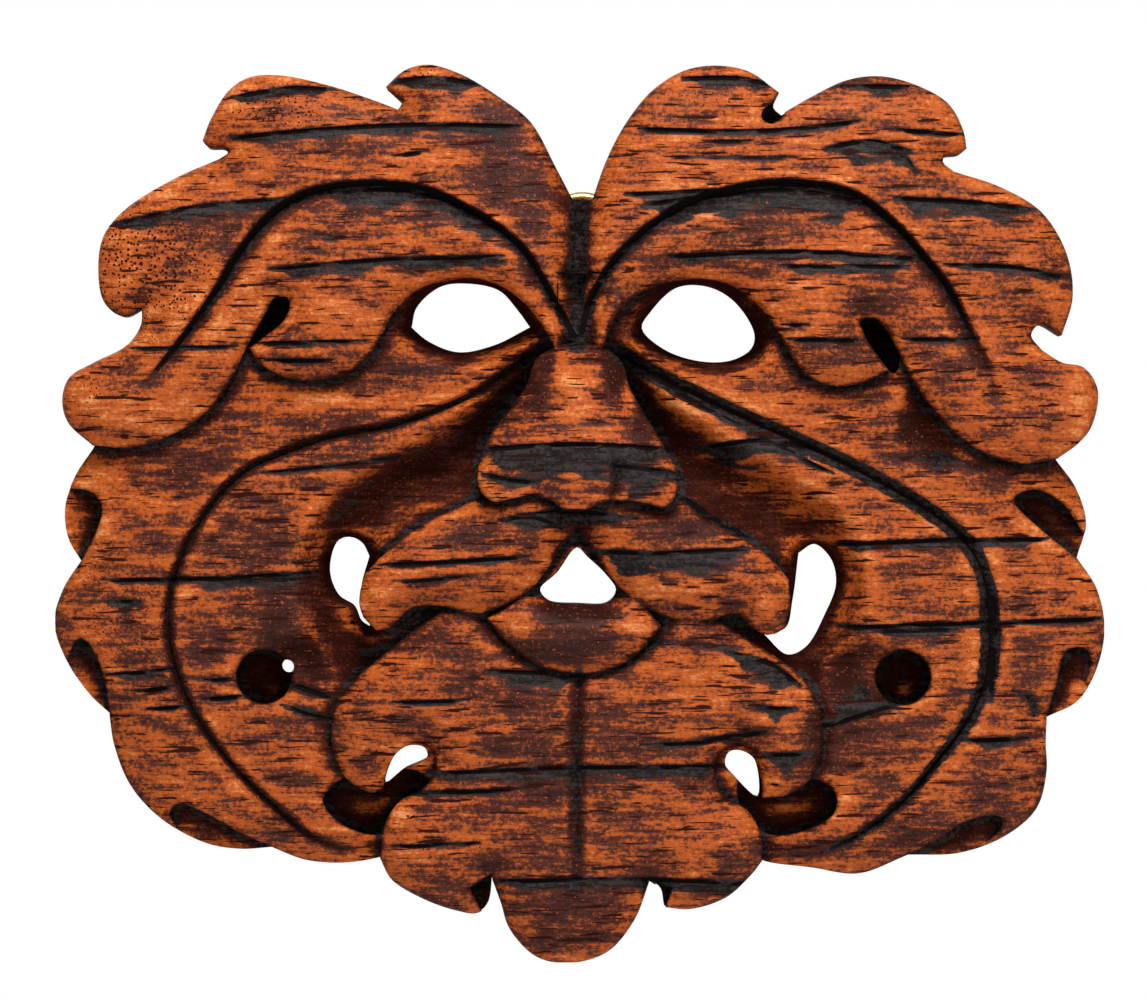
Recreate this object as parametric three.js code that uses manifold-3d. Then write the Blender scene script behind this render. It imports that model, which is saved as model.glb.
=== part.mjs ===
// Green man mask: a foliate face carved from one block, with a brass hanger let into its back.
// Millimetres. +X is the mask's width, +Z is up, and the carved face looks along -Y. The flat back lies on
// y = 0 and the origin is the point that the mask hangs from: the underside of the top of the hanger's ring.

import * as THREE from 'three';
import { mergeVertices } from 'three/addons/utils/BufferGeometryUtils.js';
import Module from 'manifold-3d';

const wasm = await Module();
wasm.setup();

// Driving dimensions
const MASK_WIDTH = 200; // over the cheek leaves
const CROWN_HEIGHT = 22; // of the domed face over its back, before any leaf is added
const SIDE_FALL = 10; // how much lower the dome is at its sides
const END_FALL = 6; // how much lower it is at the tips of the brow and the chin
const GRID = 6.2; // spacing of the facets on a carved surface
const STROKE = 4.5; // length of an outline's straight facets
const VEIN_STROKE = 6; // length of a vein's straight facets
const SHORTEST_EDGE = 0.25; // anything finer is closed up
const VEIN_OVERDRAW = 2.5; // how far a vein's cutter is drawn on past the surface, as a multiple of its depth

// Leaves: each lies above or below the dome, and rounds down to its edge over the roll's width
const CHEEK = { rise: -3, drop: 2.5, roll: 9 };
const BROW = { rise: 2.5, drop: 3, roll: 9 };
const CHIN = { rise: 2, drop: 3.2, roll: 9 };
const LIP = { rise: 3.4, drop: 2.5, roll: 6 };
const MOUSTACHE = { rise: 4.5, drop: 3.6, roll: 9 };
const NOSE = { bridge: -2.5, foot: 6.5, bulge: 7.5, footBulge: 3.2, roll: 12 };
const CLEFT = { depth: 7, reach: 7 }; // the valley between the brow leaves
const PHILTRUM = { depth: 2.5, reach: 9 }; // the valley between the moustache leaves
const LIP_SCOOP = { depth: 5, reach: 5 }; // the hollow between the lip and the mouth
const CHIN_DIP = { depth: 2.4, reach: 6 }; // how the chin leaf sinks toward the lip

// Veins: depth of the gouge, and how far it reaches on its outer and on its inner side
const BROW_VEIN = { depth: 2.4, outer: 1.2, inner: 4.2, fade: 22 };
const CHEEK_VEIN = { depth: 1.9, outer: 1.3, inner: 1.3, fade: 14 };
const CHEEK_VEIN_WIDE = { depth: 2.1, outer: 2.1, inner: 2.1, fade: 14, slim: 0.5 }; // thins to half
const CHIN_VEIN = { depth: 1.6, outer: 2, inner: 2, fade: 10 };

// Hollows: how deep and how far to each side of their line
const FACE_HOLLOW = { depth: 8, reach: 8.5 };
const PIT_SCOOP = { depth: 4.5, reach: 8 };
const TEMPLE_SCOOP = { depth: 3, reach: 6 };

// Holes and pockets
const SOCKET_FLARE = 2.6; // how much wider an eye is at the face than at the back
const SOCKET_DEPTH = 12; // over which it narrows
const PIT_RADIUS = 5.2; // of the drilled hole in each cheek
const PIT_FLOOR = 4; // wood left behind it
const POCKET_FLOOR = 5; // wood left behind a pocket in a cheek's edge
const RECESS_FLOOR = 6; // wood left under the curl of the chin leaf
const SLOT_FLOOR = 6; // wood left in the slot beside each curl of the brow
const NOTCH_FLOOR = 8; // wood left where a notch is cut under the edge of the brow or the chin

// Hanger: a ring and a tab, one brass casting, held by one screw
const RING_HOLE_RADIUS = 6.5;
const RING_WIRE = 2;
const TAB_WIDTH = 8;
const TAB_LENGTH = 10; // from the ring's wire to the tab's round end
const TAB_THICKNESS = 1.6;
const SCREW_HOLE = 3;
const SCREW_SHANK = 2.4;
const SCREW_LENGTH = 7; // under the head
const SCREW_HEAD = 5;
const SCREW_HEAD_HEIGHT = 1.4;
const FIT = 0.3; // air between two pieces
const HANGER_ROOM = 0.6; // air around the hanger in its pocket
const HANGER_DEPTH = 4.6; // depth of the pocket in the back
const NAIL_ROOM = 4; // how much deeper it is behind the ring

// The drawing: points on the front view, in its own units, with the mask DRAWN_WIDTH across. An outline is made
// of curved runs that meet at corners.
const DRAWN_WIDTH = 1051.5;
const DRAWN_ORIGIN = [582, 202];

const BROW_LEFT = [
  [[573, 202], [556, 170], [531, 125], [500, 100], [462, 77], [428, 67], [405, 73], [387, 89]],
  [[387, 89], [397, 98], [403, 105], [399, 112]],
  [[399, 112], [376, 103], [328, 87], [280, 77], [250, 79], [230, 92], [212, 121], [204, 142]],
  [[204, 142], [209, 148], [224, 149], [230, 154], [220, 161]],
  [[220, 161], [176, 180], [126, 211], [105, 237], [100, 272], [106, 303], [124, 317], [144, 308]],
  [[144, 308], [143, 326], [129, 346], [96, 363], [71, 378], [64, 400], [70, 423], [95, 446]],
  [[95, 446], [132, 448], [172, 437], [208, 414], [231, 385], [249, 348]],
  [[249, 348], [266, 317], [277, 299], [291, 301], [288, 319], [268, 337], [252, 349]],
  [[252, 349], [264, 367], [292, 380], [325, 381], [355, 371], [378, 348], [395, 315], [418, 292],
    [450, 281], [482, 281], [509, 292], [534, 315], [549, 338], [556, 353]],
];
const BROW_RIGHT = [
  [[592, 202], [606, 163], [626, 125], [652, 93], [684, 73], [716, 68], [748, 74], [778, 95]],
  [[778, 95], [773, 108], [781, 116]],
  [[781, 116], [812, 98], [846, 82], [880, 78], [916, 87], [947, 105], [962, 132], [965, 150]],
  [[965, 150], [958, 155], [944, 157], [941, 163], [952, 173]],
  [[952, 173], [998, 188], [1040, 213], [1065, 254], [1071, 298], [1060, 336]],
  [[1060, 336], [1038, 325], [1029, 336], [1040, 351]],
  [[1040, 351], [1060, 363], [1082, 368], [1096, 390], [1090, 426], [1077, 443], [1055, 459]],
  [[1055, 459], [1020, 464], [980, 453], [944, 425], [914, 387], [900, 362]],
  [[900, 362], [886, 334], [872, 320], [859, 322], [863, 338], [886, 371]],
  [[886, 371], [860, 384], [830, 387], [802, 375], [782, 346], [766, 318], [742, 294], [714, 282],
    [682, 281], [650, 290], [624, 307], [608, 334], [602, 352]],
];
const BROW_OUTLINE = [
  ...BROW_LEFT,
  [[556, 353], [577, 346], [602, 352]],
  ...backwards(BROW_RIGHT),
  [[592, 202], [573, 202]],
];
const CHEEK_LEFT = [
  [[102, 430], [95, 446], [76, 475], [65, 506], [68, 538], [81, 561]],
  [[81, 561], [63, 589], [54, 622], [66, 660], [90, 695], [109, 713]],
  [[109, 713], [114, 745], [130, 785], [160, 818], [205, 843], [240, 849], [273, 847]],
  [[273, 847], [305, 859], [343, 862], [381, 856], [400, 848]],
];
const CHEEK_RIGHT = [
  [[1048, 445], [1055, 459], [1075, 487], [1086, 523], [1077, 558]],
  [[1077, 558], [1097, 589], [1105, 630], [1096, 672], [1078, 701], [1047, 717]],
  [[1047, 717], [1046, 742], [1047, 772], [1037, 809], [1006, 836], [960, 853], [907, 855]],
  [[907, 855], [858, 873], [812, 867], [761, 859], [745, 848]],
];
const CHEEKS_OUTLINE = [
  ...CHEEK_LEFT,
  [[400, 848], [577, 800], [745, 848]],
  ...backwards(CHEEK_RIGHT),
  [[1048, 445], [1010, 400], [900, 290]],
  [[900, 290], [700, 240], [440, 240], [240, 280]],
  [[240, 280], [130, 390], [102, 430]],
];
const CHIN_OUTLINE = [
  [[381, 856], [392, 877], [420, 895], [455, 908], [478, 911], [488, 902], [492, 875]],
  [[492, 875], [501, 900], [510, 927], [537, 955], [570, 961], [607, 950], [634, 918], [649, 879]],
  [[649, 879], [660, 887], [664, 905]],
  [[664, 905], [690, 907], [726, 895], [751, 872], [761, 859]],
  [[761, 859], [761, 838], [748, 810], [726, 796], [714, 775], [719, 752], [738, 742], [753, 751],
    [760, 772], [761, 796]],
  [[761, 796], [786, 793], [810, 776], [821, 742], [817, 704], [796, 672], [766, 650], [735, 630]],
  [[735, 630], [690, 600], [577, 606], [460, 600], [418, 626]],
  [[418, 626], [389, 650], [358, 677], [336, 706], [333, 744], [346, 775], [372, 791], [383, 788]],
  [[383, 788], [391, 768], [402, 748], [420, 740], [434, 748], [436, 768], [424, 787], [400, 800],
    [385, 826], [381, 856]],
];
const MOUSTACHE_OUTLINE = [
  [[577, 529], [560, 549], [546, 571], [530, 590], [505, 605], [476, 613], [440, 605], [412, 608],
    [393, 626], [378, 629]],
  [[378, 629], [363, 612], [362, 592], [368, 572]],
  [[368, 572], [394, 546], [432, 520], [475, 500], [530, 470], [620, 470], [680, 500], [703, 518],
    [730, 533], [764, 553], [786, 578]],
  [[786, 578], [788, 604], [783, 627]],
  [[783, 627], [768, 634], [752, 628], [734, 613], [708, 619], [676, 619], [640, 604], [613, 580],
    [594, 553], [577, 529]],
];
const LIP_OUTLINE = [
  [[487, 617], [506, 641], [536, 663], [578, 673], [620, 664], [645, 645], [661, 625]],
  [[661, 625], [640, 600], [616, 580], [578, 560], [540, 580], [515, 600], [487, 617]],
];
const NOSE_OUTLINE = [
  [[577, 344], [553, 349], [536, 361], [527, 386], [510, 412], [490, 438], [480, 463], [480, 487],
    [493, 501], [512, 499], [534, 495], [552, 501], [567, 511], [584, 511], [600, 503], [626, 501],
    [648, 504], [663, 509], [675, 492], [674, 468], [659, 441], [643, 414], [629, 388], [621, 363],
    [603, 349], [577, 344]],
];

const EYE_LEFT = [
  [[530, 327], [494, 345], [458, 352], [428, 341], [411, 327]],
  [[411, 327], [416, 307], [440, 286], [470, 283], [499, 290], [517, 309], [530, 327]],
];
const EYE_RIGHT = [
  [[642, 328], [651, 311], [677, 287], [708, 286], [735, 301], [755, 333], [752, 348], [732, 360],
    [700, 361], [664, 349], [642, 328]],
];
const FOLD_LEFT = [
  [[370, 627], [361, 621], [354, 606], [338, 595], [329, 570], [337, 541], [350, 537], [362, 543],
    [369, 556]],
  [[369, 556], [361, 586], [362, 606], [370, 627]],
];
const FOLD_RIGHT = [
  [[799, 553], [815, 544], [832, 559], [837, 584], [826, 614], [807, 647], [788, 655], [764, 634]],
  [[764, 634], [786, 628], [793, 600], [799, 553]],
];
const MOUTH = [
  [[577, 547], [587, 556], [605, 573], [616, 590], [607, 602], [578, 603], [548, 600], [540, 589],
    [557, 572], [577, 547]],
];
const CURL_LEFT = [
  [[385, 783], [394, 756], [409, 744], [426, 746], [428, 756], [405, 768], [385, 783]],
];
const CURL_RIGHT = [
  [[758, 797], [735, 777], [724, 762], [728, 750], [741, 749], [755, 760], [758, 797]],
];
const RECESS_LEFT = [
  [[324, 798], [340, 780], [383, 770], [420, 770], [430, 790], [384, 832], [352, 828], [331, 813],
    [324, 798]],
];
const RECESS_RIGHT = [
  [[740, 775], [775, 780], [812, 777], [834, 791], [833, 812], [808, 828], [766, 832], [738, 800],
    [740, 775]],
];
const SLOT_LEFT = [
  [[250, 354], [243, 346], [258, 312], [270, 292], [298, 294], [295, 322], [274, 343], [250, 354]],
];
const SLOT_RIGHT = [
  [[893, 374], [898, 352], [888, 330], [874, 314], [853, 317], [858, 342], [880, 366], [893, 374]],
];
const EDGE_POCKETS = [
  [[[70, 488], [92, 492], [103, 507], [96, 535], [81, 561]], [[81, 561], [30, 561], [30, 488], [70, 488]]],
  [[[109, 713], [106, 684], [94, 650], [80, 638], [71, 652], [66, 670]],
    [[66, 670], [30, 690], [80, 740], [109, 713]]],
  [[[273, 847], [240, 832], [205, 812], [180, 803], [170, 812], [176, 826]],
    [[176, 826], [170, 870], [260, 880], [273, 847]]],
  [[[1077, 558], [1045, 534], [1012, 499], [1034, 490], [1060, 502], [1083, 533]],
    [[1083, 533], [1110, 540], [1077, 558]]],
  [[[1047, 717], [1055, 688], [1066, 651], [1084, 648], [1091, 660], [1086, 682]],
    [[1086, 682], [1120, 720], [1060, 750], [1047, 717]]],
  [[[907, 855], [935, 841], [968, 820], [1000, 817], [1001, 827], [985, 845]],
    [[985, 845], [990, 890], [920, 890], [907, 855]]],
];
const NOTCH_POCKETS = [
  [[[774, 104], [762, 112], [760, 121], [769, 127], [780, 121], [785, 112]],
    [[785, 112], [781, 105], [774, 104]]],
  [[[492, 871], [470, 885]], [[470, 885], [482, 909]],
    [[482, 909], [495, 903], [494, 886], [492, 871]]],
  [[[656, 879], [672, 885]], [[672, 885], [668, 897], [664, 908]],
    [[664, 908], [655, 905], [653, 890], [656, 879]]],
];
const PIT_LEFT = [265, 676];
const PIT_RIGHT = [902, 677];
const PIT_BREACH = { at: [288, 666], radius: 1.3 }; // where the left pit breaks through the back

const BROW_VEIN_LEFT = [
  [572, 338], [560, 315], [545, 288], [522, 252], [492, 227], [456, 206], [424, 193], [385, 188],
  [340, 190], [304, 199], [272, 220], [245, 252], [222, 290], [196, 327], [166, 366], [140, 396],
];
const BROW_VEIN_RIGHT = [
  [583, 335], [590, 306], [607, 274], [636, 241], [672, 215], [712, 198], [756, 188], [802, 187],
  [845, 195], [884, 221], [917, 256], [947, 295], [966, 334], [984, 370], [997, 400],
];
const CHEEK_VEIN_LEFT = [
  [531, 357], [503, 376], [472, 397], [432, 414], [388, 428], [336, 437], [296, 450], [250, 470],
  [216, 503], [192, 540], [175, 582], [170, 625], [178, 672], [198, 716], [231, 761], [272, 802],
  [318, 838], [362, 852],
];
const CHEEK_VEIN_RIGHT = [
  [621, 357], [654, 376], [700, 399], [756, 425], [812, 450], [864, 475], [915, 504], [955, 533],
  [979, 568], [988, 620], [986, 672], [968, 717], [936, 760], [902, 800], [860, 832], [822, 851],
];
const CHIN_LINE = [[579, 668], [577, 740], [577, 820], [578, 890]];
const CLEFT_LINE = [[582, 150], [578, 240], [576, 290], [577, 346]];
const PHILTRUM_LINE = [[577, 480], [577, 550]];
const FACE_HOLLOW_LEFT = [[548, 372], [515, 410], [470, 455], [405, 490], [352, 530], [338, 590], [352, 650]];
const FACE_HOLLOW_RIGHT = [[608, 378], [640, 425], [690, 462], [760, 505], [812, 540], [826, 600], [800, 660]];
const PIT_SCOOP_LEFT = [[278, 672], [345, 655]];
const PIT_SCOOP_RIGHT = [[888, 677], [828, 662]];
const TEMPLE_LINE = [[925, 405], [918, 430], [935, 450]];

// From the drawing to the mask
const SCALE = MASK_WIDTH / DRAWN_WIDTH;

function backwards(runs) {
  return runs.toReversed().map((run) => run.toReversed());
}

function place([across, down]) {
  return new THREE.Vector3((across - DRAWN_ORIGIN[0]) * SCALE, (DRAWN_ORIGIN[1] - down) * SCALE, 0);
}

function stroke(points) {
  const isRing = points.length > 2 && String(points[0]) === String(points.at(-1));
  const through = (isRing ? points.slice(0, -1) : points).map(place);
  const curve = new THREE.CatmullRomCurve3(through, isRing, 'centripetal');
  const steps = Math.max(1, Math.round(curve.getLength() / STROKE));
  return curve.getSpacedPoints(steps);
}

function outline(runs) {
  return runs.flatMap((run) => stroke(run).slice(0, -1));
}

function distanceTo(line, x, z, isClosed = false) {
  let nearest = Infinity;
  const last = isClosed ? line.length : line.length - 1;
  for (let i = 0; i < last; i += 1) {
    const from = line[i];
    const to = line[(i + 1) % line.length];
    const alongX = to.x - from.x;
    const alongZ = to.y - from.y;
    const share = ((x - from.x) * alongX + (z - from.y) * alongZ) / (alongX ** 2 + alongZ ** 2);
    const held = THREE.MathUtils.clamp(share, 0, 1);
    nearest = Math.min(nearest, Math.hypot(from.x + held * alongX - x, from.y + held * alongZ - z));
  }
  return nearest;
}

function isInside(ring, x, z) {
  let inside = false;
  for (let i = 0, j = ring.length - 1; i < ring.length; j = i, i += 1) {
    const [a, b] = [ring[i], ring[j]];
    if (a.y > z !== b.y > z && x < ((b.x - a.x) * (z - a.y)) / (b.y - a.y) + a.x) {
      inside = !inside;
    }
  }
  return inside;
}

function depthInside(ring, x, z) {
  return (isInside(ring, x, z) ? 1 : -1) * distanceTo(ring, x, z, true);
}

// Carved surfaces: each returns the height over the back at a point of the front view
function rollAt(inset, { drop, roll }) {
  const share = inset / roll;
  if (share >= 1) return 0;
  return share > 0 ? drop * (1 - share) ** 2 : drop * (1 - 2 * Math.max(share, -1));
}

function hollowAt(distance, { depth, reach }) {
  return distance < reach ? depth * (1 - (distance / reach) ** 2) ** 2 : 0;
}

function valleyAt(distance, { depth, reach }) {
  return distance < reach ? depth * (1 - distance / reach) ** 2 : 0;
}

const DOME_CENTRE = place([577, 480]);
const DOME_HALF_WIDTH = MASK_WIDTH / 2;
const DOME_HALF_HEIGHT = place([577, 67]).y - DOME_CENTRE.y;

function dome(x, z) {
  const aside = (x - DOME_CENTRE.x) / DOME_HALF_WIDTH;
  const along = (z - DOME_CENTRE.y) / DOME_HALF_HEIGHT;
  return CROWN_HEIGHT - SIDE_FALL * aside ** 2 - END_FALL * along ** 2;
}

const cheekRing = outline(CHEEKS_OUTLINE);
const cheekEdges = [CHEEK_LEFT, CHEEK_RIGHT].map((runs) => runs.flatMap(stroke));
const hollows = [
  [FACE_HOLLOW_LEFT, FACE_HOLLOW],
  [FACE_HOLLOW_RIGHT, FACE_HOLLOW],
  [PIT_SCOOP_LEFT, PIT_SCOOP],
  [PIT_SCOOP_RIGHT, PIT_SCOOP],
  [TEMPLE_LINE, TEMPLE_SCOOP],
].map(([points, size]) => [stroke(points), size]);

function cheekHeight(x, z) {
  const side = isInside(cheekRing, x, z) ? 1 : -1;
  const inset = side * Math.min(...cheekEdges.map((edge) => distanceTo(edge, x, z)));
  const dug = Math.max(...hollows.map(([line, size]) => hollowAt(distanceTo(line, x, z), size)));
  return dome(x, z) + CHEEK.rise - rollAt(inset, CHEEK) - dug;
}

const cleftLine = stroke(CLEFT_LINE);

function browHeight(ring) {
  return (x, z) => {
    const inset = depthInside(ring, x, z);
    return dome(x, z) + BROW.rise - rollAt(inset, BROW) - valleyAt(distanceTo(cleftLine, x, z), CLEFT);
  };
}

function leafHeight(ring, size) {
  return (x, z) => dome(x, z) + size.rise - rollAt(depthInside(ring, x, z), size);
}

const philtrumLine = stroke(PHILTRUM_LINE);

function moustacheHeight(ring) {
  const leafTop = leafHeight(ring, MOUSTACHE);
  return (x, z) => leafTop(x, z) - valleyAt(distanceTo(philtrumLine, x, z), PHILTRUM);
}

const lipRing = outline(LIP_OUTLINE);

function chinHeight(ring) {
  const leafTop = leafHeight(ring, CHIN);
  return (x, z) => leafTop(x, z) - valleyAt(distanceTo(lipRing, x, z, true), CHIN_DIP);
}

const mouthRing = outline(MOUTH);

function lipHeight(ring) {
  const leaf = leafHeight(ring, LIP);
  return (x, z) => leaf(x, z) - valleyAt(Math.max(0, -depthInside(mouthRing, x, z)), LIP_SCOOP);
}

const NOSE_TOP = place([577, 344]).y;
const NOSE_FOOT = place([577, 505]).y;

function noseHeight(ring) {
  return (x, z) => {
    const along = THREE.MathUtils.clamp((NOSE_TOP - z) / (NOSE_TOP - NOSE_FOOT), 0, 1);
    const share = Math.min(depthInside(ring, x, z) / NOSE.roll, 1);
    const bulge = share > 0 ? Math.sin((share * Math.PI) / 2) : (share * Math.PI) / 2;
    const rise = THREE.MathUtils.lerp(NOSE.bridge, NOSE.foot, along);
    return dome(x, z) + rise + THREE.MathUtils.lerp(NOSE.bulge, NOSE.footBulge, along) * bulge;
  };
}

// Solids
const CLEAR = 60; // reaches past the front of everything

function solid(geometry) {
  const bare = geometry.index ? geometry.clone() : geometry;
  bare.deleteAttribute('normal');
  bare.deleteAttribute('uv');
  const merged = mergeVertices(bare, 1e-5);
  const vertProperties = new Float32Array(merged.attributes.position.array);
  const triVerts = new Uint32Array(merged.index.array);
  return new wasm.Manifold(new wasm.Mesh({ numProp: 3, vertProperties, triVerts }));
}

function prism(ring, from = 0, to = CLEAR) {
  const shape = new THREE.Shape(ring.map(({ x, y }) => new THREE.Vector2(x, y)));
  const block = new THREE.ExtrudeGeometry(shape, { depth: to - from, bevelEnabled: false });
  return solid(block.rotateX(Math.PI / 2).translate(0, -from, 0));
}

// A leaf: its outline cut through a block whose front face is the carved surface
function leaf(ring, height) {
  const bounds = new THREE.Box2().setFromPoints(ring).expandByScalar(GRID / 2);
  const size = bounds.getSize(new THREE.Vector2());
  const middle = bounds.getCenter(new THREE.Vector2());
  const [columns, rows] = [Math.ceil(size.x / GRID), Math.ceil(size.y / GRID)];
  const block = new THREE.BoxGeometry(size.x, 1, size.y, columns, 1, rows);
  block.translate(middle.x, 0, middle.y);
  const corners = block.attributes.position;
  for (let i = 0; i < corners.count; i += 1) {
    const isFront = corners.getY(i) < 0;
    corners.setY(i, isFront ? -height(corners.getX(i), corners.getZ(i)) : 0);
  }
  block.setIndex(settledFacets(block, height));
  return solid(block).intersect(prism(ring, -1));
}

// The facets of a block, each four-sided patch split along the diagonal that lies closer to the surface
function settledFacets(block, height) {
  const facets = Array.from(block.index.array);
  const corner = (i) => new THREE.Vector3().fromBufferAttribute(block.attributes.position, i);
  for (let i = 0; i < facets.length; i += 6) {
    const [a, b, d, , c] = facets.slice(i, i + 6);
    const [first, second] = [[b, d], [a, c]].map(([from, to]) => corner(from).lerp(corner(to), 0.5));
    const surface = -height(first.x, first.z);
    if (Math.abs(second.y - surface) < Math.abs(first.y - surface)) {
      facets.splice(i, 6, a, b, c, a, c, d);
    }
  }
  return facets;
}

// An opening that is wider at the face than at the back
function flared(ring, back, depth, spread) {
  const shape = new THREE.Shape(ring.map(({ x, y }) => new THREE.Vector2(x, y)));
  const cutter = new THREE.ExtrudeGeometry(shape, {
    depth: CLEAR,
    bevelThickness: depth,
    bevelSize: spread,
    bevelSegments: 1,
  });
  return solid(cutter.rotateX(Math.PI / 2).translate(0, -back - depth, 0));
}

function drilled(at, radius, back) {
  const drill = new THREE.CylinderGeometry(radius, radius, CLEAR, 20);
  const { x, y } = place(at);
  return solid(drill.translate(x, -back - CLEAR / 2, y));
}

// A vein: a V cut along a line, drawn on past the surface so that its shoulders are clean
function gouged(points, height, { depth, outer, inner, fade, slim = 0 }, isRight) {
  const curve = new THREE.CatmullRomCurve3(points.map(place), false, 'centripetal');
  const length = curve.getLength();
  const line = curve.getSpacedPoints(Math.round(length / VEIN_STROKE));
  const [left, right] = isRight ? [outer, inner] : [inner, outer];
  const sections = line.map((point, i) => {
    const along = line[Math.min(i + 1, line.length - 1)].clone().sub(line[Math.max(i - 1, 0)]).normalize();
    const aside = new THREE.Vector3(along.y, -along.x, 0);
    const toGo = length * (1 - i / (line.length - 1));
    const cut = depth * Math.min(1, toGo / fade + 0.15);
    const width = 1 - slim * THREE.MathUtils.clamp(2.1 - (6 * toGo) / length, 0, 1);
    const surface = height(point.x, point.y);
    const rim = (reach) => {
      const { x, y } = point.clone().addScaledVector(aside, reach * width * VEIN_OVERDRAW);
      return [x, y, surface + cut * (VEIN_OVERDRAW - 1)];
    };
    return [[point.x, point.y, surface - cut], rim(right), rim(-left)];
  });
  return solid(lofted(sections));
}

// A closed skin over a row of sections with the same number of corners
function lofted(sections) {
  const corners = sections.flat().map(([x, z, height]) => [x, -height, z]);
  const sides = sections[0].length;
  const faces = [];
  for (let i = 0; i < sections.length - 1; i += 1) {
    for (let j = 0; j < sides; j += 1) {
      const [a, b] = [i * sides + j, i * sides + ((j + 1) % sides)];
      faces.push(a, a + sides, b, b, a + sides, b + sides);
    }
  }
  const last = (sections.length - 1) * sides;
  for (let j = 1; j < sides - 1; j += 1) {
    faces.push(0, j, j + 1);
    faces.push(last, last + j + 1, last + j);
  }
  const skin = new THREE.BufferGeometry();
  skin.setAttribute('position', new THREE.Float32BufferAttribute(corners.flat(), 3));
  skin.setIndex(faces);
  return skin;
}

function union(solids) {
  return solids.reduce((whole, piece) => whole.add(piece));
}

// Closes up the edges that are shorter than a limit
function closedUp(shape, limit) {
  const { vertProperties, triVerts } = shape.getMesh();
  const kept = Array.from({ length: vertProperties.length / 3 }, (_, i) => i);
  const keeper = (i) => {
    while (kept[i] !== i) i = kept[i];
    return i;
  };
  const corner = (i) => new THREE.Vector3().fromArray(vertProperties, 3 * i);
  for (let i = 0; i < triVerts.length; i += 1) {
    const next = i % 3 === 2 ? i - 2 : i + 1;
    const [from, to] = [keeper(triVerts[i]), keeper(triVerts[next])];
    if (from !== to && corner(from).distanceTo(corner(to)) < limit) {
      kept[Math.max(from, to)] = Math.min(from, to);
    }
  }
  const faces = [];
  for (let i = 0; i < triVerts.length; i += 3) {
    const face = [0, 1, 2].map((j) => keeper(triVerts[i + j]));
    if (new Set(face).size === 3) faces.push(...face);
  }
  return new wasm.Manifold(new wasm.Mesh({ numProp: 3, vertProperties, triVerts: new Uint32Array(faces) }));
}

// Closes up the edges that are too short to be carved, and only shorter ones where that parts a thin ridge
function tidied(shape) {
  let limit = SHORTEST_EDGE;
  let whole = closedUp(shape, limit);
  while (whole.decompose().length > 1 && limit > SHORTEST_EDGE / 8) {
    limit /= 2;
    whole = closedUp(shape, limit);
  }
  return whole;
}

function part(name, shape, colour, roughness, metalness) {
  const { vertProperties, triVerts } = shape.getMesh();
  const geometry = new THREE.BufferGeometry();
  geometry.setAttribute('position', new THREE.Float32BufferAttribute(vertProperties, 3));
  geometry.setIndex(Array.from(triVerts));
  const material = new THREE.MeshStandardMaterial({ color: colour, roughness, metalness });
  const mesh = new THREE.Mesh(geometry, material);
  mesh.name = name;
  return mesh;
}

// Cheeks and the hollows beside the nose: the lowest layer of the carving
function makeCheeks() {
  const sockets = [EYE_LEFT, EYE_RIGHT].map((runs) => flared(outline(runs), 4, SOCKET_DEPTH, SOCKET_FLARE));
  const folds = [FOLD_LEFT, FOLD_RIGHT].map((runs) => flared(outline(runs), 3, SOCKET_DEPTH, 2.5));
  const pits = [PIT_LEFT, PIT_RIGHT].map((at) => drilled(at, PIT_RADIUS, PIT_FLOOR));
  const recesses = [RECESS_LEFT, RECESS_RIGHT].map((runs) => prism(outline(runs), RECESS_FLOOR));
  const slots = [SLOT_LEFT, SLOT_RIGHT].map((runs) => prism(outline(runs), SLOT_FLOOR));
  const pockets = EDGE_POCKETS.map((runs) => prism(outline(runs), POCKET_FLOOR));
  const veins = [
    gouged(CHEEK_VEIN_LEFT, cheekHeight, CHEEK_VEIN, false),
    gouged(CHEEK_VEIN_RIGHT, cheekHeight, CHEEK_VEIN_WIDE, true),
  ];
  const cuts = [...sockets, ...folds, ...pits, ...recesses, ...slots, ...pockets, ...veins];
  return leaf(cheekRing, cheekHeight).subtract(union(cuts));
}

function makeBrow() {
  const ring = outline(BROW_OUTLINE);
  const height = browHeight(ring);
  const veins = [
    gouged(BROW_VEIN_LEFT, height, BROW_VEIN, false),
    gouged(BROW_VEIN_RIGHT, height, BROW_VEIN, true),
  ];
  return leaf(ring, height).subtract(union(veins));
}

function makeChin() {
  const ring = outline(CHIN_OUTLINE);
  const height = chinHeight(ring);
  return leaf(ring, height).subtract(gouged(CHIN_LINE, height, CHIN_VEIN, true));
}

function makeMask() {
  const [moustache, lip, nose] = [MOUSTACHE_OUTLINE, LIP_OUTLINE, NOSE_OUTLINE].map(outline);
  const leaves = union([
    makeCheeks(),
    makeBrow(),
    makeChin(),
    leaf(lip, lipHeight(lip)),
    leaf(moustache, moustacheHeight(moustache)),
    leaf(nose, noseHeight(nose)),
  ]);
  const holes = [EYE_LEFT, EYE_RIGHT, FOLD_LEFT, FOLD_RIGHT, MOUTH, CURL_LEFT, CURL_RIGHT];
  const cuts = holes.map((runs) => prism(outline(runs), -1));
  cuts.push(drilled(PIT_BREACH.at, PIT_BREACH.radius, -1));
  cuts.push(...NOTCH_POCKETS.map((runs) => prism(outline(runs), NOTCH_FLOOR)));
  return tidied(leaves.subtract(union(cuts)).subtract(makeHangerPocket()));
}

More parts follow.
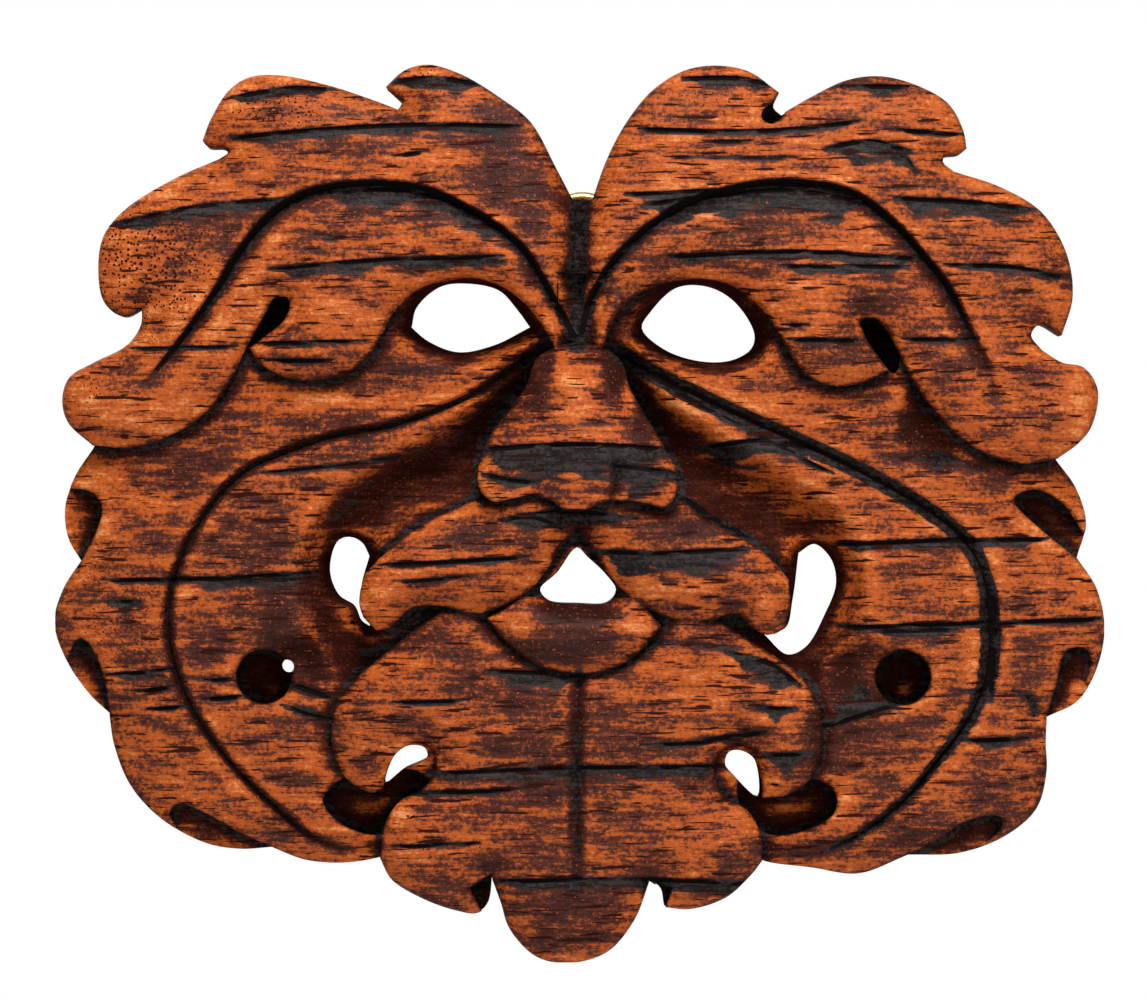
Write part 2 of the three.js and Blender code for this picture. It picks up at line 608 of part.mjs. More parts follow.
// Hanger: everything about it is measured from the point that hangs on the nail
const RING_CENTRE = -RING_HOLE_RADIUS;
const RING_RADIUS = RING_HOLE_RADIUS + RING_WIRE / 2;
const TAB_TOP = RING_CENTRE - RING_RADIUS;
const TAB_END = TAB_TOP - TAB_LENGTH;
const SCREW_HEIGHT = TAB_END + TAB_WIDTH / 2;
const HANGER_FRONT = -(HANGER_DEPTH - FIT);
const TAB_BACK = HANGER_FRONT + TAB_THICKNESS;

function tabShape(grow) {
  const half = TAB_WIDTH / 2 + grow;
  const shape = new THREE.Shape();
  shape.moveTo(half, TAB_TOP);
  shape.lineTo(-half, TAB_TOP);
  shape.lineTo(-half, SCREW_HEIGHT);
  shape.absarc(0, SCREW_HEIGHT, half, Math.PI, 2 * Math.PI);
  return shape;
}

function rodAlongY(radius, front, back, height, sides = 20) {
  const rod = new THREE.CylinderGeometry(radius, radius, back - front, sides);
  return rod.translate(0, (front + back) / 2, height);
}

function makeHangerPocket() {
  const disc = solid(rodAlongY(RING_RADIUS + RING_WIRE / 2 + HANGER_ROOM, -HANGER_DEPTH, 1, RING_CENTRE, 32));
  const slot = new THREE.ExtrudeGeometry(tabShape(HANGER_ROOM), {
    depth: HANGER_DEPTH + 1,
    bevelEnabled: false,
    curveSegments: 8,
  });
  const nailRoom = solid(rodAlongY(RING_HOLE_RADIUS, -HANGER_DEPTH - NAIL_ROOM, 0, RING_CENTRE, 24));
  const screwTip = HANGER_FRONT + TAB_THICKNESS - SCREW_LENGTH - FIT;
  const screwBore = solid(rodAlongY(SCREW_SHANK / 2 + FIT, screwTip, 0, SCREW_HEIGHT, 12));
  return union([disc, solid(slot.rotateX(Math.PI / 2).translate(0, 1, 0)), nailRoom, screwBore]);
}

function makeHanger() {
  const ring = new THREE.TorusGeometry(RING_RADIUS, RING_WIRE / 2, 8, 28);
  ring.rotateX(Math.PI / 2).translate(0, HANGER_FRONT + RING_WIRE / 2, RING_CENTRE);
  const tab = new THREE.ExtrudeGeometry(tabShape(0), {
    depth: TAB_THICKNESS,
    bevelEnabled: false,
    curveSegments: 10,
  });
  tab.rotateX(Math.PI / 2).translate(0, TAB_BACK, 0);
  const hole = solid(rodAlongY(SCREW_HOLE / 2, HANGER_FRONT - 1, 1, SCREW_HEIGHT, 16));
  return solid(ring).add(solid(tab)).subtract(hole);
}

function makeScrew() {
  const headFront = TAB_BACK + FIT;
  const shankTip = TAB_BACK - SCREW_LENGTH;
  const profile = [
    [0, shankTip],
    [SCREW_SHANK / 4, shankTip + SCREW_SHANK / 2],
    [SCREW_SHANK / 2, shankTip + SCREW_SHANK],
    [SCREW_SHANK / 2, headFront],
    [SCREW_HEAD / 2, headFront],
    [SCREW_HEAD / 2, headFront + SCREW_HEAD_HEIGHT / 2],
    [SCREW_HEAD / 4, headFront + SCREW_HEAD_HEIGHT],
    [0, headFront + SCREW_HEAD_HEIGHT],
  ].map(([radius, along]) => new THREE.Vector2(radius, along));
  return solid(new THREE.LatheGeometry(profile, 12).translate(0, 0, SCREW_HEIGHT));
}

const group = new THREE.Group();
group.add(
  part('mask', makeMask(), 0xa9562b, 0.6, 0),
  part('hanger', makeHanger(), 0xc9a24a, 0.35, 1),
  part('hanger_screw', makeScrew(), 0xc9a24a, 0.4, 1),
);

export default group;
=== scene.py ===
# Green man mask: the carved and stained face that hangs on a wall, and the brass hanger let into its back.
# The mask's form is laid down leaf by leaf over a dome, as a carver does, with the drawing's outlines.

import math

import bpy
import numpy as np
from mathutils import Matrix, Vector, noise
from mathutils.bvhtree import BVHTree
from mathutils.geometry import delaunay_2d_cdt


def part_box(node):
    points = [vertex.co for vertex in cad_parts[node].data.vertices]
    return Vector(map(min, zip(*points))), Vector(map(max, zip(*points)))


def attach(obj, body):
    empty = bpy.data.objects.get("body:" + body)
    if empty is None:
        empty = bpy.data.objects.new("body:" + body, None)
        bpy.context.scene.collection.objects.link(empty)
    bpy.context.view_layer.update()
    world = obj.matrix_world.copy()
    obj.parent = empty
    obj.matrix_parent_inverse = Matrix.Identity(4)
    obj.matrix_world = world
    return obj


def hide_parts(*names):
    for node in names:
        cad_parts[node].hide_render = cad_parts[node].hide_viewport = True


bl_info = {
    "name": "Green Man Mask",
    "version": (1, 0, 0),
    "blender": (4, 5, 0),
    "location": "3D View > Sidebar > Green Man",
    "description": "Builds a carved foliate face for the wall, with its brass hanger",
    "category": "Add Mesh",
}

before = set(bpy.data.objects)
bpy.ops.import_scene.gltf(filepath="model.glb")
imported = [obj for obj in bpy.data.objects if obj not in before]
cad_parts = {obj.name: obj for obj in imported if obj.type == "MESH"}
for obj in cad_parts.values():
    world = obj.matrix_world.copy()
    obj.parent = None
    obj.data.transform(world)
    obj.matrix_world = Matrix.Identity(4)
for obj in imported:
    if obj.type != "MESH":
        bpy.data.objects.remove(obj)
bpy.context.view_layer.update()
MASK_LOW, MASK_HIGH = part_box("mask")
HANGER_LOW, HANGER_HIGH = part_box("hanger")
SCREW_LOW, SCREW_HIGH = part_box("hanger_screw")

# A millimetre in metres, and how many millimetres apart the points along a drawn line are laid
MM = 0.001
STEP = 0.7

# The drawing, in its own units: outlines are curved runs that meet at corners
DRAWN_WIDTH = 1051.5
DRAWN_ORIGIN = (582, 202)
BROW_LEFT = [
    [[573, 202], [556, 170], [531, 125], [500, 100], [462, 77], [428, 67], [405, 73], [387, 89]],
    [[387, 89], [397, 98], [403, 105], [399, 112]],
    [[399, 112], [376, 103], [328, 87], [280, 77], [250, 79], [230, 92], [212, 121], [204, 142]],
    [[204, 142], [209, 148], [224, 149], [230, 154], [220, 161]],
    [[220, 161], [176, 180], [126, 211], [105, 237], [100, 272], [106, 303], [124, 317], [144, 308]],
    [[144, 308], [143, 326], [129, 346], [96, 363], [71, 378], [64, 400], [70, 423], [95, 446]],
    [[95, 446], [132, 448], [172, 437], [208, 414], [231, 385], [249, 348]],
    [[249, 348], [266, 317], [277, 299], [291, 301], [288, 319], [268, 337], [252, 349]],
    [[252, 349], [264, 367], [292, 380], [325, 381], [355, 371], [378, 348], [395, 315], [418, 292],
      [450, 281], [482, 281], [509, 292], [534, 315], [549, 338], [556, 353]],
]
BROW_RIGHT = [
    [[592, 202], [606, 163], [626, 125], [652, 93], [684, 73], [716, 68], [748, 74], [778, 95]],
    [[778, 95], [773, 108], [781, 116]],
    [[781, 116], [812, 98], [846, 82], [880, 78], [916, 87], [947, 105], [962, 132], [965, 150]],
    [[965, 150], [958, 155], [944, 157], [941, 163], [952, 173]],
    [[952, 173], [998, 188], [1040, 213], [1065, 254], [1071, 298], [1060, 336]],
    [[1060, 336], [1038, 325], [1029, 336], [1040, 351]],
    [[1040, 351], [1060, 363], [1082, 368], [1096, 390], [1090, 426], [1077, 443], [1055, 459]],
    [[1055, 459], [1020, 464], [980, 453], [944, 425], [914, 387], [900, 362]],
    [[900, 362], [886, 334], [872, 320], [859, 322], [863, 338], [886, 371]],
    [[886, 371], [860, 384], [830, 387], [802, 375], [782, 346], [766, 318], [742, 294], [714, 282],
      [682, 281], [650, 290], [624, 307], [608, 334], [602, 352]],
]
CHEEK_LEFT = [
    [[102, 430], [95, 446], [76, 475], [65, 506], [68, 538], [81, 561]],
    [[81, 561], [63, 589], [54, 622], [66, 660], [90, 695], [109, 713]],
    [[109, 713], [114, 745], [130, 785], [160, 818], [205, 843], [240, 849], [273, 847]],
    [[273, 847], [305, 859], [343, 862], [381, 856], [400, 848]],
]
CHEEK_RIGHT = [
    [[1048, 445], [1055, 459], [1075, 487], [1086, 523], [1077, 558]],
    [[1077, 558], [1097, 589], [1105, 630], [1096, 672], [1078, 701], [1047, 717]],
    [[1047, 717], [1046, 742], [1047, 772], [1037, 809], [1006, 836], [960, 853], [907, 855]],
    [[907, 855], [858, 873], [812, 867], [761, 859], [745, 848]],
]
CHIN_OUTLINE = [
    [[381, 856], [392, 877], [420, 895], [455, 908], [478, 911], [488, 902], [492, 875]],
    [[492, 875], [501, 900], [510, 927], [537, 955], [570, 961], [607, 950], [634, 918], [649, 879]],
    [[649, 879], [660, 887], [664, 905]],
    [[664, 905], [690, 907], [726, 895], [751, 872], [761, 859]],
    [[761, 859], [761, 838], [748, 810], [726, 796], [714, 775], [719, 752], [738, 742], [753, 751],
      [760, 772], [761, 796]],
    [[761, 796], [786, 793], [810, 776], [821, 742], [817, 704], [796, 672], [766, 650], [735, 630]],
    [[735, 630], [690, 600], [577, 606], [460, 600], [418, 626]],
    [[418, 626], [389, 650], [358, 677], [336, 706], [333, 744], [346, 775], [372, 791], [383, 788]],
    [[383, 788], [391, 768], [402, 748], [420, 740], [434, 748], [436, 768], [424, 787], [400, 800],
      [385, 826], [381, 856]],
]
MOUSTACHE_OUTLINE = [
    [[577, 529], [560, 549], [546, 571], [530, 590], [505, 605], [476, 613], [440, 605], [412, 608],
      [393, 626], [378, 629]],
    [[378, 629], [363, 612], [362, 592], [368, 572]],
    [[368, 572], [394, 546], [432, 520], [475, 500], [530, 470], [620, 470], [680, 500], [703, 518],
      [730, 533], [764, 553], [786, 578]],
    [[786, 578], [788, 604], [783, 627]],
    [[783, 627], [768, 634], [752, 628], [734, 613], [708, 619], [676, 619], [640, 604], [613, 580],
      [594, 553], [577, 529]],
]
LIP_OUTLINE = [
    [[487, 617], [506, 641], [536, 663], [578, 673], [620, 664], [645, 645], [661, 625]],
    [[661, 625], [640, 600], [616, 580], [578, 560], [540, 580], [515, 600], [487, 617]],
]
NOSE_OUTLINE = [
    [[577, 344], [553, 349], [536, 361], [527, 386], [510, 412], [490, 438], [480, 463], [480, 487],
      [493, 501], [512, 499], [534, 495], [552, 501], [567, 511], [584, 511], [600, 503], [626, 501],
      [648, 504], [663, 509], [675, 492], [674, 468], [659, 441], [643, 414], [629, 388], [621, 363],
      [603, 349], [577, 344]],
]
EYE_LEFT = [
    [[530, 327], [494, 345], [458, 352], [428, 341], [411, 327]],
    [[411, 327], [416, 307], [440, 286], [470, 283], [499, 290], [517, 309], [530, 327]],
]
EYE_RIGHT = [
    [[642, 328], [651, 311], [677, 287], [708, 286], [735, 301], [755, 333], [752, 348], [732, 360],
      [700, 361], [664, 349], [642, 328]],
]
FOLD_LEFT = [
    [[370, 627], [361, 621], [354, 606], [338, 595], [329, 570], [337, 541], [350, 537], [362, 543],
      [369, 556]],
    [[369, 556], [361, 586], [362, 606], [370, 627]],
]
FOLD_RIGHT = [
    [[799, 553], [815, 544], [832, 559], [837, 584], [826, 614], [807, 647], [788, 655], [764, 634]],
    [[764, 634], [786, 628], [793, 600], [799, 553]],
]
MOUTH = [
    [[577, 547], [587, 556], [605, 573], [616, 590], [607, 602], [578, 603], [548, 600], [540, 589],
      [557, 572], [577, 547]],
]
CURL_LEFT = [
    [[385, 783], [394, 756], [409, 744], [426, 746], [428, 756], [405, 768], [385, 783]],
]
CURL_RIGHT = [
    [[758, 797], [735, 777], [724, 762], [728, 750], [741, 749], [755, 760], [758, 797]],
]
RECESS_LEFT = [
    [[324, 798], [340, 780], [383, 770], [420, 770], [430, 790], [384, 832], [352, 828], [331, 813],
      [324, 798]],
]
RECESS_RIGHT = [
    [[740, 775], [775, 780], [812, 777], [834, 791], [833, 812], [808, 828], [766, 832], [738, 800],
      [740, 775]],
]
BROW_SLOTS = [
    [[[250, 354], [243, 346], [258, 312], [270, 292], [298, 294], [295, 322], [274, 343], [250, 354]]],
    [[[893, 374], [898, 352], [888, 330], [874, 314], [853, 317], [858, 342], [880, 366], [893, 374]]],
]
EDGE_POCKETS = [
    [[[70, 488], [92, 492], [103, 507], [96, 535], [81, 561]], [[81, 561], [30, 561], [30, 488], [70, 488]]],
    [[[109, 713], [106, 684], [94, 650], [80, 638], [71, 652], [66, 670]],
      [[66, 670], [30, 690], [80, 740], [109, 713]]],
    [[[273, 847], [240, 832], [205, 812], [180, 803], [170, 812], [176, 826]],
      [[176, 826], [170, 870], [260, 880], [273, 847]]],
    [[[1077, 558], [1045, 534], [1012, 499], [1034, 490], [1060, 502], [1083, 533]],
      [[1083, 533], [1110, 540], [1077, 558]]],
    [[[1047, 717], [1055, 688], [1066, 651], [1084, 648], [1091, 660], [1086, 682]],
      [[1086, 682], [1120, 720], [1060, 750], [1047, 717]]],
    [[[907, 855], [935, 841], [968, 820], [1000, 817], [1001, 827], [985, 845]],
      [[985, 845], [990, 890], [920, 890], [907, 855]]],
]
NOTCH_POCKETS = [
    [[[774, 104], [762, 112], [760, 121], [769, 127], [780, 121], [785, 112]],
      [[785, 112], [781, 105], [774, 104]]],
    [[[492, 871], [470, 885]], [[470, 885], [482, 909]],
      [[482, 909], [495, 903], [494, 886], [492, 871]]],
    [[[656, 879], [672, 885]], [[672, 885], [668, 897], [664, 908]],
      [[664, 908], [655, 905], [653, 890], [656, 879]]],
]
PIT_LEFT = [265, 676]
PIT_RIGHT = [902, 677]
BROW_VEIN_LEFT = [
    [572, 338], [560, 315], [545, 288], [522, 252], [492, 227], [456, 206], [424, 193], [385, 188],
    [340, 190], [304, 199], [272, 220], [245, 252], [222, 290], [196, 327], [166, 366], [140, 396],
]
BROW_VEIN_RIGHT = [
    [583, 335], [590, 306], [607, 274], [636, 241], [672, 215], [712, 198], [756, 188], [802, 187],
    [845, 195], [884, 221], [917, 256], [947, 295], [966, 334], [984, 370], [997, 400],
]
CHEEK_VEIN_LEFT = [
    [531, 357], [503, 376], [472, 397], [432, 414], [388, 428], [336, 437], [296, 450], [250, 470],
    [216, 503], [192, 540], [175, 582], [170, 625], [178, 672], [198, 716], [231, 761], [272, 802],
    [318, 838], [362, 852],
]
CHEEK_VEIN_RIGHT = [
    [621, 357], [654, 376], [700, 399], [756, 425], [812, 450], [864, 475], [915, 504], [955, 533],
    [979, 568], [988, 620], [986, 672], [968, 717], [936, 760], [902, 800], [860, 832], [822, 851],
]
CHIN_LINE = [[579, 668], [577, 740], [577, 820], [578, 890]]
CLEFT_LINE = [[582, 150], [578, 240], [576, 290], [577, 346]]
PHILTRUM_LINE = [[577, 480], [577, 550]]
NOSE_CREASE = [[617, 462], [616, 482], [609, 504]]
FACE_HOLLOW_LEFT = [[548, 372], [515, 410], [470, 455], [405, 490], [352, 530], [338, 590], [352, 650]]
FACE_HOLLOW_RIGHT = [[608, 378], [640, 425], [690, 462], [760, 505], [812, 540], [826, 600], [800, 660]]
PIT_SCOOP_LEFT = [[278, 672], [345, 655]]
PIT_SCOOP_RIGHT = [[888, 677], [828, 662]]
TEMPLE_LINE = [[925, 405], [918, 430], [935, 450]]

# The photograph's view, in the drawing's units: it is true to scale this far in front of the back, in metres
VIEW_WIDTH = 1146
VIEW_MIDDLE = (573, 500)
VIEW_DEPTH = 0.006

# Leaves, in millimetres: each lies above or below the dome and rounds down to its edge over the roll's width
CROWN_HEIGHT = 22.0
SIDE_FALL = 10.0
END_FALL = 6.0
CHEEK = {"rise": -3.0, "drop": 2.5, "roll": 9.0}
BROW = {"rise": 2.5, "drop": 3.0, "roll": 9.0}
CHIN = {"rise": 2.0, "drop": 3.2, "roll": 9.0}
CHIN_DIP = {"depth": 2.4, "reach": 6.0}
LIP = {"rise": 3.4, "drop": 2.5, "roll": 6.0}
MOUSTACHE = {"rise": 4.5, "drop": 3.6, "roll": 9.0}
NOSE = {"bridge": -2.5, "foot": 6.5, "bulge": 7.5, "foot_bulge": 3.2, "roll": 12.0}
CLEFT = {"depth": 7.0, "reach": 7.0}
PHILTRUM = {"depth": 2.5, "reach": 9.0}
CREASE = {"depth": 1.6, "reach": 2.2}
LIP_SCOOP = {"depth": 5.0, "reach": 5.0}
BROW_VEIN = {"depth": 2.4, "outer": 1.2, "inner": 4.2, "fade": 22.0}
CHEEK_VEIN = {"depth": 1.9, "outer": 1.3, "inner": 1.3, "fade": 14.0}
CHEEK_VEIN_WIDE = {"depth": 2.1, "outer": 2.1, "inner": 2.1, "fade": 14.0, "slim": 0.5}
CHIN_VEIN = {"depth": 1.6, "outer": 2.0, "inner": 2.0, "fade": 10.0}
FACE_HOLLOW = {"depth": 8.0, "reach": 8.5}
PIT_SCOOP = {"depth": 4.5, "reach": 8.0}
TEMPLE_SCOOP = {"depth": 3.0, "reach": 6.0}
SOCKET = {"floor": 4.0, "depth": 12.0, "spread": 2.6}
FOLD_SOCKET = {"floor": 3.0, "depth": 12.0, "spread": 2.5}
PIT_RADIUS = 5.2
FLOORS = {"pit": 4.0, "recess": 6.0, "slot": 6.0, "pocket": 5.0}
NOTCH_FLOOR = 8.0
THINNEST = 1.0
BREACH = {"at": (288, 666), "radius": 1.3}
CRACK = 0.45
FAR = 99.0

# The hanger and its screw, and the room for them in the back, in millimetres
RING_WIRE = 2.0
HANGER_ROOM = 0.6
HANGER_DEPTH = 4.6
NAIL_ROOM = 4.0
TAB_WIDTH = 8.0
BORE_RADIUS = 1.5
BORE_DEPTH = 10.0
SHANK_RADIUS = 1.2

# Weathered streaks of the grain: the drawn points of the upper edge, the width below it and how dark it is
STREAKS = [
    ([[228, 100], [290, 90], [335, 91]], 10, 0.9),
    ([[235, 139], [330, 131], [420, 127], [520, 129]], 12, 0.9),
    ([[117, 224], [200, 208], [288, 200]], 16, 0.8),
    ([[273, 270], [390, 261], [502, 258]], 14, 0.9),
    ([[262, 344], [315, 343], [367, 342]], 5, 1.0),
    ([[271, 361], [334, 361]], 5, 1.0),
    ([[135, 349], [240, 347]], 6, 0.7),
    ([[397, 159], [429, 154]], 5, 0.8),
    ([[318, 237], [345, 239]], 12, 0.8),
    ([[480, 262], [504, 264]], 14, 0.8),
    ([[684, 81], [730, 80], [778, 87]], 11, 1.0),
    ([[840, 88], [906, 88]], 10, 0.9),
    ([[638, 132], [763, 133], [855, 124]], 7, 0.9),
    ([[896, 132], [964, 136]], 5, 0.9),
    ([[702, 144], [748, 144]], 6, 0.7),
    ([[664, 160], [794, 160]], 5, 0.6),
    ([[826, 150], [868, 143], [906, 153]], 24, 1.0),
    ([[872, 156], [900, 158], [914, 174]], 14, 0.9),
    ([[625, 197], [715, 192]], 11, 0.8),
    ([[893, 200], [960, 203], [1032, 210]], 16, 1.0),
    ([[669, 258], [789, 253], [916, 260]], 11, 1.0),
    ([[780, 268], [905, 268]], 12, 0.8),
    ([[942, 266], [1010, 268], [1070, 280]], 9, 0.9),
    ([[781, 326], [804, 326]], 8, 0.9),
    ([[786, 340], [860, 341]], 6, 1.0),
    ([[901, 340], [975, 340]], 6, 0.8),
    ([[880, 458], [930, 452], [985, 470]], 18, 0.5),
    ([[486, 449], [580, 444], [664, 449]], 36, 1.0),
    ([[484, 474], [512, 479], [538, 482]], 12, 0.9),
    ([[614, 466], [640, 468], [668, 472]], 34, 1.0),
    ([[503, 518], [533, 516], [562, 526]], 20, 0.75),
    ([[645, 207], [715, 197], [790, 192], [862, 204]], 24, 1.0),
    ([[330, 195], [385, 191], [440, 199], [510, 236]], 20, 0.9),
    ([[394, 84], [430, 80], [482, 86]], 15, 1.0),
    ([[893, 706], [858, 716], [824, 727]], 24, 1.0),
    ([[332, 719], [305, 713], [284, 704]], 10, 0.8),
    ([[290, 682], [315, 690], [336, 697]], 6, 1.0),
    ([[700, 447], [760, 440], [812, 448]], 20, 0.9),
    ([[652, 378], [700, 405], [760, 436], [832, 474]], 7, 0.7),
    ([[992, 590], [994, 640], [990, 700]], 16, 0.9),
    ([[679, 494], [715, 519], [752, 538]], 4, 1.0),
    ([[380, 564], [450, 560], [526, 555]], 6, 0.9),
    ([[395, 580], [470, 575]], 5, 0.7),
    ([[602, 550], [670, 551], [743, 547]], 25, 1.0),
    ([[520, 514], [580, 510], [635, 518]], 14, 0.85),
    ([[838, 543], [940, 539], [1045, 538]], 10, 1.0),
    ([[840, 626], [960, 622], [1100, 618]], 6, 1.0),
    ([[873, 630], [955, 628]], 13, 0.8),
    ([[965, 739], [1026, 737]], 10, 1.0),
    ([[1012, 690], [1032, 698], [1034, 716]], 11, 0.9),
    ([[104, 579], [210, 577], [318, 571]], 6, 0.9),
    ([[190, 582], [315, 577]], 14, 0.6),
    ([[115, 600], [140, 600]], 34, 0.8),
    ([[108, 674], [174, 668]], 9, 0.9),
    ([[139, 690], [176, 685]], 7, 0.9),
    ([[150, 708], [186, 705]], 5, 1.0),
    ([[206, 679], [236, 677]], 9, 0.8),
    ([[206, 698], [247, 694]], 5, 1.0),
    ([[264, 473], [400, 457]], 6, 0.7),
    ([[492, 668], [578, 672]], 24, 0.8),
    ([[640, 636], [740, 646]], 14, 0.5),
    ([[430, 770], [570, 764], [720, 763]], 14, 0.9),
    ([[728, 650], [765, 660], [799, 684]], 20, 1.0),
    ([[757, 704], [792, 706]], 24, 0.8),
    ([[762, 752], [808, 750]], 24, 0.8),
    ([[705, 736], [764, 729]], 7, 0.9),
    ([[960, 690], [990, 688]], 20, 0.9),
    ([[405, 790], [520, 786]], 6, 0.9),
    ([[395, 843], [480, 839]], 4, 0.9),
    ([[500, 877], [640, 875], [770, 881]], 12, 1.0),
    ([[395, 700], [470, 697]], 7, 0.8),
    ([[640, 742], [720, 738]], 6, 0.8),
]

